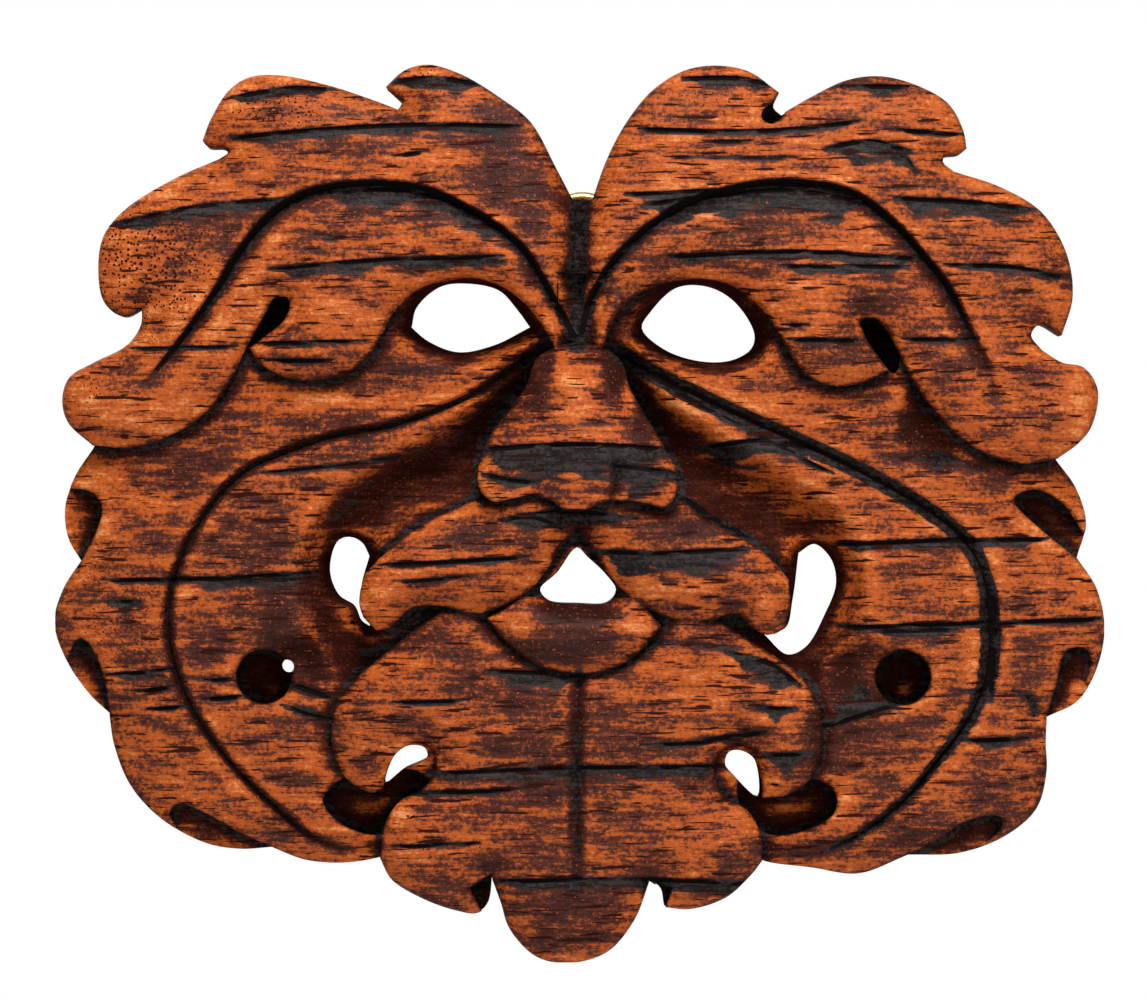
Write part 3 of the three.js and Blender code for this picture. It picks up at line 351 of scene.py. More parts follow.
# Where more stain was left than elsewhere, and spots of painted shade and painted light, such as the shadow
# along a vein and the lit floors of the pits and recesses: the middle, the reach each way, and how much
# (below 0 is lighter: wiped back, and in places painted light)
STAINS_AND_PAINTED_LIGHT = [
    (575, 905, 110, 60, 0.5), (430, 890, 70, 40, 0.4), (720, 890, 60, 35, 0.4), (600, 775, 150, 30, 0.4),
    (560, 645, 75, 28, 0.6), (430, 640, 70, 25, 0.5), (700, 640, 70, 16, 0.4), (575, 720, 35, 60, 0.4),
    (295, 650, 60, 70, 0.8), (265, 565, 60, 50, 0.4), (310, 715, 50, 30, 0.4), (340, 500, 70, 40, 0.3),
    (505, 150, 35, 70, 0.7), (640, 190, 30, 90, 0.3), (775, 203, 120, 16, 0.9), (440, 205, 100, 18, 0.3),
    (868, 695, 60, 60, 0.6), (860, 845, 90, 30, 0.4), (905, 430, 30, 35, 0.8), (910, 470, 70, 25, 0.3),
    (530, 430, 30, 60, 0.3), (655, 470, 25, 40, 0.3), (577, 270, 12, 80, 0.4), (500, 385, 40, 30, 0.3),
    (650, 375, 40, 25, 0.3), (536, 386, 14, 34, 1.3), (507, 430, 12, 22, 0.7), (614, 374, 12, 32, 1.5),
    (640, 422, 12, 22, 0.7), (930, 580, 70, 30, -0.25), (758, 482, 34, 20, -0.9), (790, 508, 34, 22, -1.0),
    (806, 500, 24, 30, -0.5), (720, 680, 60, 35, -0.4), (700, 590, 70, 18, -0.3), (390, 170, 90, 18, -0.2),
    (300, 320, 60, 25, -0.2), (580, 380, 25, 30, -0.3), (534, 195, 22, 60, 0.8), (505, 130, 25, 30, 0.4),
    (618, 185, 16, 50, 0.5), (425, 352, 25, 16, 0.5), (835, 82, 60, 14, 0.4), (825, 358, 45, 25, 0.5),
    (775, 432, 55, 14, 0.7), (486, 440, 14, 40, 0.8), (640, 432, 18, 45, 0.8), (728, 528, 50, 26, 0.6),
    (280, 615, 30, 30, 0.8), (450, 548, 60, 22, 0.5), (585, 618, 60, 20, 0.7), (367, 762, 18, 22, 0.9),
    (495, 745, 40, 14, 0.5), (828, 700, 26, 40, 0.6), (735, 850, 40, 28, 0.8), (545, 945, 50, 18, 0.8),
    (600, 935, 30, 14, 0.4), (430, 900, 40, 14, 0.5), (1000, 785, 30, 30, 0.4), (885, 785, 30, 30, 0.4),
    (940, 725, 30, 26, 0.3), (630, 820, 40, 26, 0.4), (315, 402, 85, 14, -0.8), (290, 292, 40, 22, -0.4),
    (400, 272, 60, 12, -0.3), (320, 168, 50, 14, -0.4), (430, 158, 40, 12, -0.4), (690, 412, 36, 18, -0.6),
    (722, 446, 40, 26, -0.6), (640, 590, 50, 16, -0.5), (530, 580, 30, 20, -0.5), (300, 640, 40, 50, 0.4),
    (310, 585, 30, 40, 0.3), (840, 690, 40, 30, 0.3), (1000, 735, 60, 18, 0.3), (945, 560, 30, 30, 0.4),
    (262, 240, 18, 50, 0.4), (760, 228, 110, 10, 0.4), (430, 370, 60, 12, 0.4), (660, 190, 16, 40, -0.6),
    (140, 265, 50, 40, -0.4), (190, 300, 40, 30, -0.3), (100, 420, 40, 30, -0.3), (90, 560, 30, 50, -0.3),
    (665, 388, 24, 14, -0.5), (490, 505, 70, 26, -0.4), (570, 530, 90, 14, -0.5), (640, 560, 60, 14, -0.4),
    (975, 660, 36, 26, -0.5), (150, 505, 40, 40, -0.3), (180, 405, 130, 20, -0.4), (320, 315, 60, 26, -0.4),
    (280, 245, 40, 30, -0.4), (430, 242, 70, 14, -0.4), (700, 200, 50, 24, -0.5), (870, 240, 60, 40, -0.3),
    (1060, 310, 26, 30, -0.5), (1076, 400, 24, 40, -0.3), (900, 395, 26, 60, -0.4),
    (930, 800, 40, 30, -0.4), (420, 800, 80, 20, -0.4), (640, 800, 50, 30, -0.4), (720, 720, 20, 40, -0.4),
    (765, 350, 20, 30, 0.4), (590, 355, 40, 14, 0.4), (330, 580, 40, 30, 0.4), (380, 762, 26, 20, 0.5),
    (790, 840, 60, 20, 0.4), (620, 740, 140, 20, 0.3), (800, 750, 30, 50, 0.3), (920, 545, 60, 16, 0.4),
    (350, 205, 90, 12, 0.3), (800, 210, 120, 10, 0.3), (725, 460, 24, 16, -0.4), (590, 538, 20, 9, -0.5),
    (640, 575, 40, 16, -0.5), (110, 470, 40, 26, -0.4), (135, 625, 40, 40, -0.4), (160, 695, 40, 24, -0.4),
    (560, 320, 18, 26, -0.5), (950, 392, 40, 20, -0.3), (485, 705, 60, 18, -0.3), (1070, 350, 22, 24, -0.3),
    (745, 405, 80, 20, -0.5), (905, 692, 16, 14, -2.2), (276, 692, 16, 12, -2.2), (385, 806, 34, 16, -1.1),
    (795, 806, 34, 16, -1.1), (1052, 530, 26, 22, -0.5), (800, 560, 25, 40, -0.8), (560, 900, 80, 36, 0.35),
    (455, 460, 60, 30, -0.4), (400, 500, 60, 30, -0.4), (690, 222, 40, 16, -0.6), (824, 528, 16, 30, -0.5),
    (158, 505, 45, 25, -0.6), (400, 402, 120, 16, -0.8), (180, 428, 60, 18, -0.5), (260, 285, 60, 26, -0.4),
    (390, 165, 110, 16, -0.4), (440, 288, 50, 18, -0.4), (390, 240, 90, 12, -0.3), (800, 292, 50, 18, -0.4),
    (1076, 410, 22, 36, -0.5), (120, 720, 30, 36, -0.3), (250, 715, 60, 22, -0.4), (750, 566, 60, 26, 0.5),
    (300, 545, 36, 36, 0.4), (450, 805, 70, 50, 0.4), (590, 805, 130, 55, 0.35), (806, 735, 20, 60, 0.6),
    (985, 585, 50, 28, 0.4), (1040, 215, 50, 14, 0.4), (850, 92, 70, 14, 0.4), (545, 215, 20, 60, 0.3),
    (950, 385, 28, 36, 0.4), (232, 262, 16, 46, 0.4), (600, 392, 24, 20, 0.3), (690, 525, 60, 22, 0.5),
    (490, 530, 60, 20, 0.4), (560, 612, 40, 12, 0.9), (555, 652, 60, 16, 0.7), (518, 624, 26, 12, -0.8),
    (628, 624, 26, 11, -0.4), (575, 656, 60, 14, 0.3), (575, 612, 34, 10, 0.6), (395, 545, 40, 20, 0.3),
    (480, 545, 60, 20, 0.2), (528, 545, 16, 30, 0.3), (665, 530, 60, 14, 0.3), (480, 596, 50, 10, -0.4),
    (556, 318, 9, 26, -0.7), (470, 353, 50, 8, -0.3), (700, 363, 50, 8, -0.9), (548, 562, 9, 16, -0.9),
    (607, 560, 9, 14, -0.9), (619, 374, 9, 28, 1.0), (545, 362, 9, 22, 0.8), (600, 312, 9, 26, -0.6),
    (577, 362, 20, 12, 0.4), (440, 370, 50, 9, 0.5), (660, 478, 12, 26, 0.5), (315, 590, 30, 36, 0.5),
    (228, 265, 12, 50, 0.4), (930, 830, 60, 28, 0.4), (1040, 700, 36, 18, 0.4), (485, 870, 50, 28, 0.4),
    (860, 280, 60, 12, -0.3), (680, 300, 30, 20, -0.4), (700, 215, 30, 12, -0.5), (585, 590, 60, 12, -0.4),
    (560, 470, 60, 8, -0.4), (632, 626, 24, 11, -0.4), (551, 366, 8, 24, 1.0), (606, 366, 8, 26, 1.2),
    (500, 528, 50, 16, 0.5), (600, 640, 50, 10, 0.5),
]

# Where the wood is stippled with small dots, in the same way
DOTTED = [
    (150, 265, 130, 110, 1.0), (280, 112, 100, 40, 0.9), (430, 84, 60, 24, 0.8), (90, 390, 50, 50, 0.5),
    (120, 620, 80, 120, 0.6), (720, 110, 90, 60, 0.5), (575, 380, 40, 40, 0.4), (450, 850, 80, 50, 0.5),
    (960, 640, 120, 160, 0.4),
]


def backwards(runs):
    return [run[::-1] for run in runs[::-1]]


BROW_OUTLINE = [
    *BROW_LEFT,
    [[556, 353], [577, 346], [602, 352]],
    *backwards(BROW_RIGHT),
    [[592, 202], [573, 202]],
]
CHEEKS_OUTLINE = [
    *CHEEK_LEFT,
    [[400, 848], [577, 800], [745, 848]],
    *backwards(CHEEK_RIGHT),
    [[1048, 445], [1010, 400], [900, 290]],
    [[900, 290], [700, 240], [440, 240], [240, 280]],
    [[240, 280], [130, 390], [102, 430]],
]
SCALE = round(MASK_HIGH.x - MASK_LOW.x, 3) / MM / DRAWN_WIDTH


def placed(points):
    """Drawn points to millimetres across and up from the hanging point."""
    points = np.asarray(points, float)
    return (points - DRAWN_ORIGIN) * (SCALE, -SCALE)


def stroke(points, step):
    """A smooth line through drawn points, with a point every step."""
    drawn = placed(points)
    is_ring = len(drawn) > 2 and np.allclose(drawn[0], drawn[-1])
    if is_ring:
        before, after = drawn[-2], drawn[1]
    else:
        before, after = 2 * drawn[0] - drawn[1], 2 * drawn[-1] - drawn[-2]
    guide = np.vstack([before, drawn, after])
    gaps = np.sqrt(np.linalg.norm(np.diff(guide, axis=0), axis=1))[:, None]
    share = np.linspace(0, 1, 40, endpoint=False)[:, None]
    pieces = []
    for i in range(1, len(guide) - 2):
        a, b, c, d = guide[i - 1 : i + 3]
        g0, g1, g2 = gaps[i - 1 : i + 2]
        leave = ((b - a) / g0 - (c - a) / (g0 + g1) + (c - b) / g1) * g1
        reach = ((c - b) / g1 - (d - b) / (g1 + g2) + (d - c) / g2) * g1
        square = -3 * b + 3 * c - 2 * leave - reach
        cube = 2 * b - 2 * c + leave + reach
        pieces.append(b + leave * share + square * share**2 + cube * share**3)
    dense = np.vstack([*pieces, drawn[-1]])
    travelled = np.r_[0, np.cumsum(np.linalg.norm(np.diff(dense, axis=0), axis=1))]
    count = max(1, round(travelled[-1] / step))
    even = np.linspace(0, travelled[-1], count + 1)
    return np.column_stack([np.interp(even, travelled, dense[:, k]) for k in (0, 1)])


def outline(runs, step):
    """A closed outline, counter-clockwise, without its last point."""
    ring = np.vstack([stroke(run, step)[:-1] for run in runs])
    turned = np.sum(ring[:, 0] * np.roll(ring[:, 1], -1) - np.roll(ring[:, 0], -1) * ring[:, 1])
    return ring if turned > 0 else ring[::-1]


def circle(at, radius, count):
    angles = np.linspace(0, 2 * math.pi, count, endpoint=False)
    return placed(at) + radius * np.column_stack([np.cos(angles), np.sin(angles)])


def nearest(points, path, is_closed=False, reach=14.0):
    """How far each point lies from a path, how far along it, and on which side (+1 on the right)."""
    far = np.full(len(points), FAR)
    along = np.zeros(len(points))
    side = np.ones(len(points))
    end = np.roll(path, -1, axis=0) if is_closed else path[1:]
    start = path if is_closed else path[:-1]
    run = end - start
    length = np.maximum(np.linalg.norm(run, axis=1), 1e-9)
    travelled = np.r_[0, np.cumsum(length)[:-1]]
    close = np.all((points > path.min(0) - reach) & (points < path.max(0) + reach), axis=1)
    chosen = np.flatnonzero(close)
    for part in np.array_split(chosen, max(1, len(chosen) // 3000)):
        offset = points[part][:, None, :] - start
        share = np.clip(np.einsum("nmk,mk->nm", offset, run) / length**2, 0, 1)
        gap = offset - share[:, :, None] * run
        squared = np.einsum("nmk,nmk->nm", gap, gap)
        best = squared.argmin(1)
        rows = np.arange(len(part))
        far[part] = np.sqrt(squared[rows, best])
        along[part] = travelled[best] + share[rows, best] * length[best]
        cross = run[best, 0] * offset[rows, best, 1] - run[best, 1] * offset[rows, best, 0]
        side[part] = np.where(cross > 0, -1, 1)
    return far, along, side


def gap_to(points, runs):
    """How far each point lies from a closed outline."""
    return nearest(points, outline(runs, STEP), True)[0]


def gap_along(points, line, step=1.5):
    """How far each point lies from a drawn line."""
    return nearest(points, stroke(line, step))[0]


def is_enclosed(points, start, end):
    """Which points lie inside the area that loose edges enclose."""
    inside = np.zeros(len(points), bool)
    rise = np.where(end[:, 1] == start[:, 1], 1e-12, end[:, 1] - start[:, 1])
    for part in np.array_split(np.arange(len(points)), max(1, len(points) // 2000)):
        x, z = points[part, 0][:, None], points[part, 1][:, None]
        spans = (start[:, 1] > z) != (end[:, 1] > z)
        crossing = start[:, 0] + (z - start[:, 1]) / rise * (end[:, 0] - start[:, 0])
        inside[part] = np.count_nonzero(spans & (x < crossing), axis=1) % 2 == 1
    return inside


def is_inside(points, ring):
    """Which points lie inside a closed outline."""
    inside = np.zeros(len(points), bool)
    close = np.flatnonzero(np.all((points > ring.min(0)) & (points < ring.max(0)), axis=1))
    inside[close] = is_enclosed(points[close], ring, np.roll(ring, -1, axis=0))
    return inside


# Carved surfaces: heights over the back, in millimetres, for points across and up
def roll_at(depth, size):
    share = np.clip(1 - depth / size["roll"], 0, 1)
    return size["drop"] * share**2


def hollow_at(distance, size):
    return size["depth"] * np.clip(1 - (distance / size["reach"]) ** 2, 0, 1) ** 2


def valley_at(distance, size):
    return size["depth"] * np.clip(1 - distance / size["reach"], 0, 1) ** 2


def arris_at(distance, radius):
    """How much a worn arris lies below a sharp one."""
    gap = radius - np.clip(distance, 0, radius)
    return radius - np.sqrt(radius**2 - gap**2)


def softer_low(first, second, blend):
    share = np.clip(blend - np.abs(first - second), 0, None) / blend
    return np.minimum(first, second) - share**2 * blend / 4


def softer_high(first, second, blend):
    return -softer_low(-first, -second, blend)


def vein_at(points, drawn, size, is_right):
    """A gouged vein: steep on its outer side, which is on the right or the left of the way it runs."""
    path = stroke(drawn, STEP)
    length = np.linalg.norm(np.diff(path, axis=0), axis=1).sum()
    far, along, side = nearest(points, path)
    is_outer = (side > 0) == is_right
    slim = 1 - size.get("slim", 0) * np.clip(6 * along / length - 3.9, 0, 1)
    share = np.clip(1 - far / (slim * np.where(is_outer, size["outer"], size["inner"])), 0, 1)
    fade = np.clip((length - along) / size["fade"] + 0.15, 0, 1)
    return size["depth"] * fade * np.where(is_outer, share, share**1.4)


def dome(points):
    aside = (points[:, 0] - DOME_CENTRE[0]) / (SCALE * DRAWN_WIDTH / 2)
    along = (points[:, 1] - DOME_CENTRE[1]) / DOME_HALF_HEIGHT
    return CROWN_HEIGHT - SIDE_FALL * aside**2 - END_FALL * along**2


def leaf_height(points, ring, size, arris):
    depth = nearest(points, ring, True)[0]
    return dome(points) + size["rise"] - roll_at(depth, size) - arris_at(depth, arris)


def cheek_height(points, _, arris):
    edges = [np.vstack([stroke(run, STEP) for run in runs]) for runs in (CHEEK_LEFT, CHEEK_RIGHT)]
    depth = np.minimum(*[nearest(points, edge)[0] for edge in edges])
    height = dome(points) + CHEEK["rise"] - roll_at(depth, CHEEK) - arris_at(depth, arris)
    height -= np.max([hollow_at(gap_along(points, line), size) for line, size in HOLLOWS], axis=0)
    height -= vein_at(points, CHEEK_VEIN_LEFT, CHEEK_VEIN, True)
    height -= vein_at(points, CHEEK_VEIN_RIGHT, CHEEK_VEIN_WIDE, False)
    for runs, socket in SOCKETS:
        slope = socket["floor"] + gap_to(points, runs) * socket["depth"] / socket["spread"]
        height = softer_low(height, slope, 1.2)
    for at in (PIT_LEFT, PIT_RIGHT):
        height -= arris_at(nearest(points, circle(at, PIT_RADIUS, 48), True)[0], arris)
    for runs in (RECESS_LEFT, RECESS_RIGHT, *EDGE_POCKETS):
        height -= arris_at(gap_to(points, runs), arris)
    return height


def brow_height(points, ring, arris):
    height = leaf_height(points, ring, BROW, arris)
    height -= valley_at(gap_along(points, CLEFT_LINE), CLEFT)
    height -= vein_at(points, BROW_VEIN_LEFT, BROW_VEIN, True)
    return height - vein_at(points, BROW_VEIN_RIGHT, BROW_VEIN, False)


def chin_height(points, ring, arris):
    height = leaf_height(points, ring, CHIN, arris)
    height -= valley_at(gap_to(points, LIP_OUTLINE), CHIN_DIP)
    return height - vein_at(points, CHIN_LINE, CHIN_VEIN, True)


def lip_height(points, ring, arris):
    height = leaf_height(points, ring, LIP, arris)
    return height - valley_at(gap_to(points, MOUTH), LIP_SCOOP)


def moustache_height(points, ring, arris):
    height = leaf_height(points, ring, MOUSTACHE, arris)
    return height - valley_at(gap_along(points, PHILTRUM_LINE), PHILTRUM)


def nose_height(points, ring, arris):
    depth = nearest(points, ring, True)[0]
    along = np.clip((NOSE_TOP - points[:, 1]) / (NOSE_TOP - NOSE_FOOT), 0, 1)
    bulge = np.sin(np.clip(depth / NOSE["roll"], 0, 1) * math.pi / 2)
    rise = NOSE["bridge"] + (NOSE["foot"] - NOSE["bridge"]) * along
    swell = NOSE["bulge"] + (NOSE["foot_bulge"] - NOSE["bulge"]) * along
    crease = valley_at(gap_along(points, NOSE_CREASE, 1.0), CREASE)
    return dome(points) + rise + swell * bulge - crease - arris_at(depth, arris)


DOME_CENTRE = placed([577, 480])
DOME_HALF_HEIGHT = placed([577, 67])[1] - DOME_CENTRE[1]
NOSE_TOP = placed([577, 344])[1]
NOSE_FOOT = placed([577, 505])[1]
HOLLOWS = [
    (FACE_HOLLOW_LEFT, FACE_HOLLOW),
    (FACE_HOLLOW_RIGHT, FACE_HOLLOW),
    (PIT_SCOOP_LEFT, PIT_SCOOP),
    (PIT_SCOOP_RIGHT, PIT_SCOOP),
    (TEMPLE_LINE, TEMPLE_SCOOP),
]
SOCKETS = [
    (EYE_LEFT, SOCKET),
    (EYE_RIGHT, SOCKET),
    (FOLD_LEFT, FOLD_SOCKET),
    (FOLD_RIGHT, FOLD_SOCKET),
]
LEAVES = {
    "cheeks": (CHEEKS_OUTLINE, cheek_height),
    "brow": (BROW_OUTLINE, brow_height),
    "chin": (CHIN_OUTLINE, chin_height),
    "lip": (LIP_OUTLINE, lip_height),
    "moustache": (MOUSTACHE_OUTLINE, moustache_height),
    "nose": (NOSE_OUTLINE, nose_height),
}
CUTS = {
    "recess": (RECESS_LEFT, RECESS_RIGHT),
    "slot": BROW_SLOTS,
    "pocket": EDGE_POCKETS,
    "notch": NOTCH_POCKETS,
    "hole": (EYE_LEFT, EYE_RIGHT, FOLD_LEFT, FOLD_RIGHT, MOUTH, CURL_LEFT, CURL_RIGHT),
}

# Rims along which the creases get less soot and less painted shade, and the width of that
RIMS_WITH_LESS_CREASE_SHADE = [*((runs, socket["spread"]) for runs, socket in SOCKETS), (CURL_LEFT, 1.6), (CURL_RIGHT, 1.6)]

# Veins: the line, its size, its steep side (1 is right), where its soot and painted shade start and how dark
# they are, and how dark the crack of painted shadow along its steep side is and how far it lasts
VEINS = [
    (BROW_VEIN_LEFT, BROW_VEIN, 1, (0.6, 0.9), (1.0, 9.0)),
    (BROW_VEIN_RIGHT, BROW_VEIN, -1, (0.55, 0.9), (1.0, 3.2)),
    (CHEEK_VEIN_LEFT, CHEEK_VEIN, 1, (0.6, 0.5), (0.62, 9.0)),
    (CHEEK_VEIN_RIGHT, CHEEK_VEIN_WIDE, -1, (0.0, 1.0), (0.8, 5.0)),
    (CHIN_LINE, CHIN_VEIN, 1, (0.3, 0.45), (0.45, 5.0)),
]

# How much more stain was left all over the flat back
BACK_STAIN = 0.5


# The hanger's pocket in the back, measured like the hanger from the point that hangs on the nail
def pocket_rings():
    reach = (HANGER_HIGH.x - HANGER_LOW.x) / 2 / MM
    centre = RING_WIRE - reach
    turn = np.linspace(0, 2 * math.pi, 64, endpoint=False)
    round_one = np.column_stack([np.cos(turn), np.sin(turn)])
    disc = (reach + HANGER_ROOM) * round_one + (0, centre)
    nail = (reach - RING_WIRE) * round_one + (0, centre)
    half = TAB_WIDTH / 2 + HANGER_ROOM
    screw = (SCREW_LOW.z + SCREW_HIGH.z) / 2 / MM
    under = np.linspace(-math.pi, 0, 24)
    end = np.column_stack([half * np.cos(under), half * np.sin(under) + screw])
    slot = np.vstack([end, [(half, centre - reach + 1), (-half, centre - reach + 1)]])
    bore = BORE_RADIUS * round_one[::3] + (0, screw)
    return [
        (disc, HANGER_DEPTH),
        (slot, HANGER_DEPTH),
        (nail, HANGER_DEPTH + NAIL_ROOM),
        (bore, BORE_DEPTH),
    ]


# Fine skin over the carving, where one number names each point of the plan at each of its heights
POINTS_APART = 2**24
HEIGHTS = 4000


def dense_line(path, is_closed):
    """A path with points close enough to leave no gap in a 0.1 mm raster."""
    end = np.roll(path, -1, axis=0) if is_closed else path[1:]
    start = path if is_closed else path[:-1]
    share = np.linspace(0, 1, 12, endpoint=False)[:, None, None]
    return (start + (end - start) * share).reshape(-1, 2)


def clear_of(points, lines, across, up):
    """The points that keep a gap from every line."""
    cell = 0.1
    low = points.min(0) - 6
    size = np.ceil((points.max(0) + 6 - low) / cell).astype(int) + 1
    taken = np.zeros(size, bool)
    for line in lines:
        spots = ((line - low) / cell).astype(int)
        spots = spots[np.all((spots > 0) & (spots < size - 1), axis=1)]
        taken[spots[:, 0], spots[:, 1]] = True
    for axis, gap in enumerate((across, up)):
        grown = taken.copy()
        for shift in range(1, round(gap / cell) + 1):
            grown |= np.roll(taken, shift, axis) | np.roll(taken, -shift, axis)
        taken = grown
    spots = ((points - low) / cell).astype(int)
    return points[~taken[spots[:, 0], spots[:, 1]]]


def beside(path, offset, is_closed):
    """A row of points beside a path: to the left of the way it runs for a positive offset."""
    if is_closed:
        along = np.roll(path, -1, axis=0) - np.roll(path, 1, axis=0)
    else:
        along = np.gradient(path, axis=0)
    along = along / np.maximum(np.linalg.norm(along, axis=1), 1e-9)[:, None]
    return path + offset * np.column_stack([-along[:, 1], along[:, 0]])


def drawn_rings():
    """Every outline that the carving has, by name, in the order that the cutting needs."""
    rings = {name: outline(runs, STEP) for name, (runs, _) in LEAVES.items()}
    for number, at in enumerate((PIT_LEFT, PIT_RIGHT)):
        rings[f"pit {number}"] = circle(at, PIT_RADIUS, 48)
    for name, group in CUTS.items():
        for number, runs in enumerate(group):
            rings[f"{name} {number}"] = outline(runs, STEP)
    rings["hole breach"] = circle(BREACH["at"], BREACH["radius"], 16)
    for number, (ring, _) in enumerate(pocket_rings()):
        rings[f"back {number}"] = ring
    return rings


def plan_points(rings, across, up):
    """Points of the front view that carry the skin, besides the outlines themselves."""
    low = np.array([MASK_LOW.x, MASK_LOW.z]) / MM
    high = np.array([MASK_HIGH.x, MASK_HIGH.z]) / MM
    columns = np.arange(low[0], high[0], across)
    rows = np.arange(low[1], high[1], up)
    grid = np.array([(x + (row % 2) * across / 2, z) for row, z in enumerate(rows) for x in columns])
    leaves = [rings[name] for name in LEAVES]
    grid = grid[np.any([is_inside(grid, ring) for ring in leaves], axis=0)]
    holes = [ring for name, ring in rings.items() if name.startswith("hole")]
    grid = grid[~np.any([is_inside(grid, ring) for ring in holes], axis=0)]
    front = {name: ring for name, ring in rings.items() if not name.startswith("back")}
    dense = [dense_line(ring, True) for ring in front.values()]
    edging = []
    for name, ring in front.items():
        for offset in (0.15, 0.45, 0.85, -0.4) if name in LEAVES else (0.3, -0.2, -0.55):
            edging.append(beside(ring, offset, True))
    edging = clear_of(np.vstack(edging), dense, 0.1, 0.1)
    grid = clear_of(grid, dense, 0.95, 0.75)
    veins = []
    for points, size, turn, *_ in VEINS:
        path = stroke(points, STEP)
        for reach in (-size["outer"], -size["outer"] / 2, size["inner"] / 3, size["inner"]):
            veins.append(beside(path, turn * reach, False))
    veins = clear_of(np.vstack(veins), dense, 0.5, 0.4)
    centre = [dense_line(stroke(points, STEP), False) for points, *_ in VEINS]
    paths = [stroke(drawn, STEP) for drawn, _, _ in STREAKS]
    cracks_and_shadow = [beside(path, offset, False) for path in paths for offset in (0.3, -CRACK, -2 * CRACK)]
    centre.extend(dense_line(path, False) for path in paths)
    cracks_and_shadow = clear_of(np.vstack(cracks_and_shadow), [*dense, *centre, dense_line(veins, False)], 0.4, 0.2)
    grid = clear_of(grid, [*centre, veins, cracks_and_shadow], 0.4, 0.2)
    return np.vstack([grid, edging, veins, cracks_and_shadow])


def triangulated(rings, points):
    """The plan cut into triangles, each with the names of the outlines that it lies in."""
    squeeze = np.array([0.5, 1.0])
    corners = [*rings.values()]
    dense = [dense_line(ring, True) for ring in corners]
    drawn_lines = [item[0] for item in (*VEINS, *STREAKS)]
    lines = [clear_of(stroke(drawn, STEP), dense, 0.5, 0.4) for drawn in drawn_lines]
    spots = np.vstack([*corners, *lines, points]) * squeeze
    faces = []
    start = 0
    for ring in corners:
        faces.append(list(range(start, start + len(ring))))
        start += len(ring)
    edges = []
    for line in lines:
        steps = np.linalg.norm(np.diff(line, axis=0), axis=1)
        edges.extend((start + i, start + i + 1) for i in np.flatnonzero(steps < 2 * STEP))
        start += len(line)
    laid = delaunay_2d_cdt([Vector(spot) for spot in spots], edges, faces, 0, 1e-5, True)
    plan = np.array([tuple(spot) for spot in laid[0]]) / squeeze
    triangles = np.array(laid[2])
    codes = np.zeros(len(triangles), np.int64)
    for i, inside in enumerate(laid[5]):
        for ring in inside:
            codes[i] |= 1 << ring
    return plan, triangles, codes, {name: 1 << i for i, name in enumerate(rings)}


def grain_at(points, settings):
    """How deep the skin lies: fine ridges along the wood, and the slow waves of the tool."""
    depth = np.zeros(len(points))
    for i, (x, z) in enumerate(points):
        drift = noise.noise((x * 0.02, z * 0.03, 3.0)) * 3.0
        ridge = noise.noise((x * 0.045, (z + drift) * 0.75, 0.0))
        fine = noise.noise((x * 0.1, (z + drift) * 1.7, 7.0))
        hand = noise.noise((x * 0.06, z * 0.075, 11.0))
        depth[i] = settings.grain * (0.6 * ridge + 0.4 * fine) + settings.hand * hand
    return depth


def streak_at(points):
    """How deep in a streak each point lies, and how deep in the crack along its upper edge, from 0 to 1: the
    crack also carries the painted shadow under that ledge.
    """
    level = np.zeros(len(points))
    crack = np.zeros(len(points))
    for drawn, width, strength in STREAKS:
        path = stroke(drawn, 1.5)
        far, along, side = nearest(points, path, False, width * SCALE + 3)
        close = np.flatnonzero(far < width * SCALE + 2)
        ragged = np.array([noise.noise((x * 0.2, z * 0.9, 5.0)) for x, z in points[close]])
        length = np.linalg.norm(np.diff(path, axis=0), axis=1).sum()
        tip = np.clip(np.minimum(along[close], length - along[close]) / 4.0, 0.25, 1)
        below = np.maximum(width * SCALE * tip * (1.35 + 0.9 * ragged), 0.15)
        reach = np.where(side[close] > 0, below, 0.3 + 0.3 * ragged)
        share = np.clip(1.25 * (1 - far[close] / np.maximum(reach, 0.1)), 0, 1)
        level[close] = np.maximum(level[close], strength * share)
        below = np.where(side[close] > 0, far[close], -3 * far[close])
        edge = np.clip(1.5 - np.abs(below - CRACK / 2) / CRACK, 0, 1) * np.clip(1.1 + 2.5 * ragged, 0, 1)
        crack[close] = np.maximum(crack[close], strength * edge * np.minimum(1, 2 * tip))
    return level, crack


def level_at(points, spots):
    """A level that is highest in the middle of each spot."""
    level = np.zeros(len(points))
    for across, down, wide, high, strength in spots:
        gap = (points - placed([(across, down)])) / (np.array([wide, high]) * SCALE)
        level += strength * np.exp(-2 * np.einsum("ij,ij->i", gap, gap))
    return level


def pores_at(points, count, seed):
    """Short open pores, scattered along the grain."""
    chance = np.random.default_rng(seed)
    low, high = points.min(0), points.max(0)
    level = np.zeros(len(points))
    order = np.argsort(points[:, 1])
    heights = points[order, 1]
    for _ in range(count):
        x, z = chance.uniform(low, high)
        length = chance.uniform(1.5, 5.0)
        width = chance.uniform(0.25, 0.5)
        first, last = np.searchsorted(heights, (z - 0.8, z + 0.8))
        near = order[first:last]
        aside = np.abs(points[near, 0] - x) / length
        tilt = z + 0.06 * (points[near, 0] - x)
        off = np.abs(points[near, 1] - tilt) / width
        level[near] = np.maximum(level[near], np.clip(1 - aside**2 - off**2, 0, 1))
    return level


def front_tops(plan, triangles, codes, bits, rings, arris):
    """The height of every leaf at every point of the plan that it covers."""
    tops = {}
    for name, (_, height) in LEAVES.items():
        used = np.unique(triangles[(codes & bits[name]) > 0])
        tops[name] = np.full(len(plan), np.nan)
        tops[name][used] = height(plan[used], rings[name], arris)
    return tops


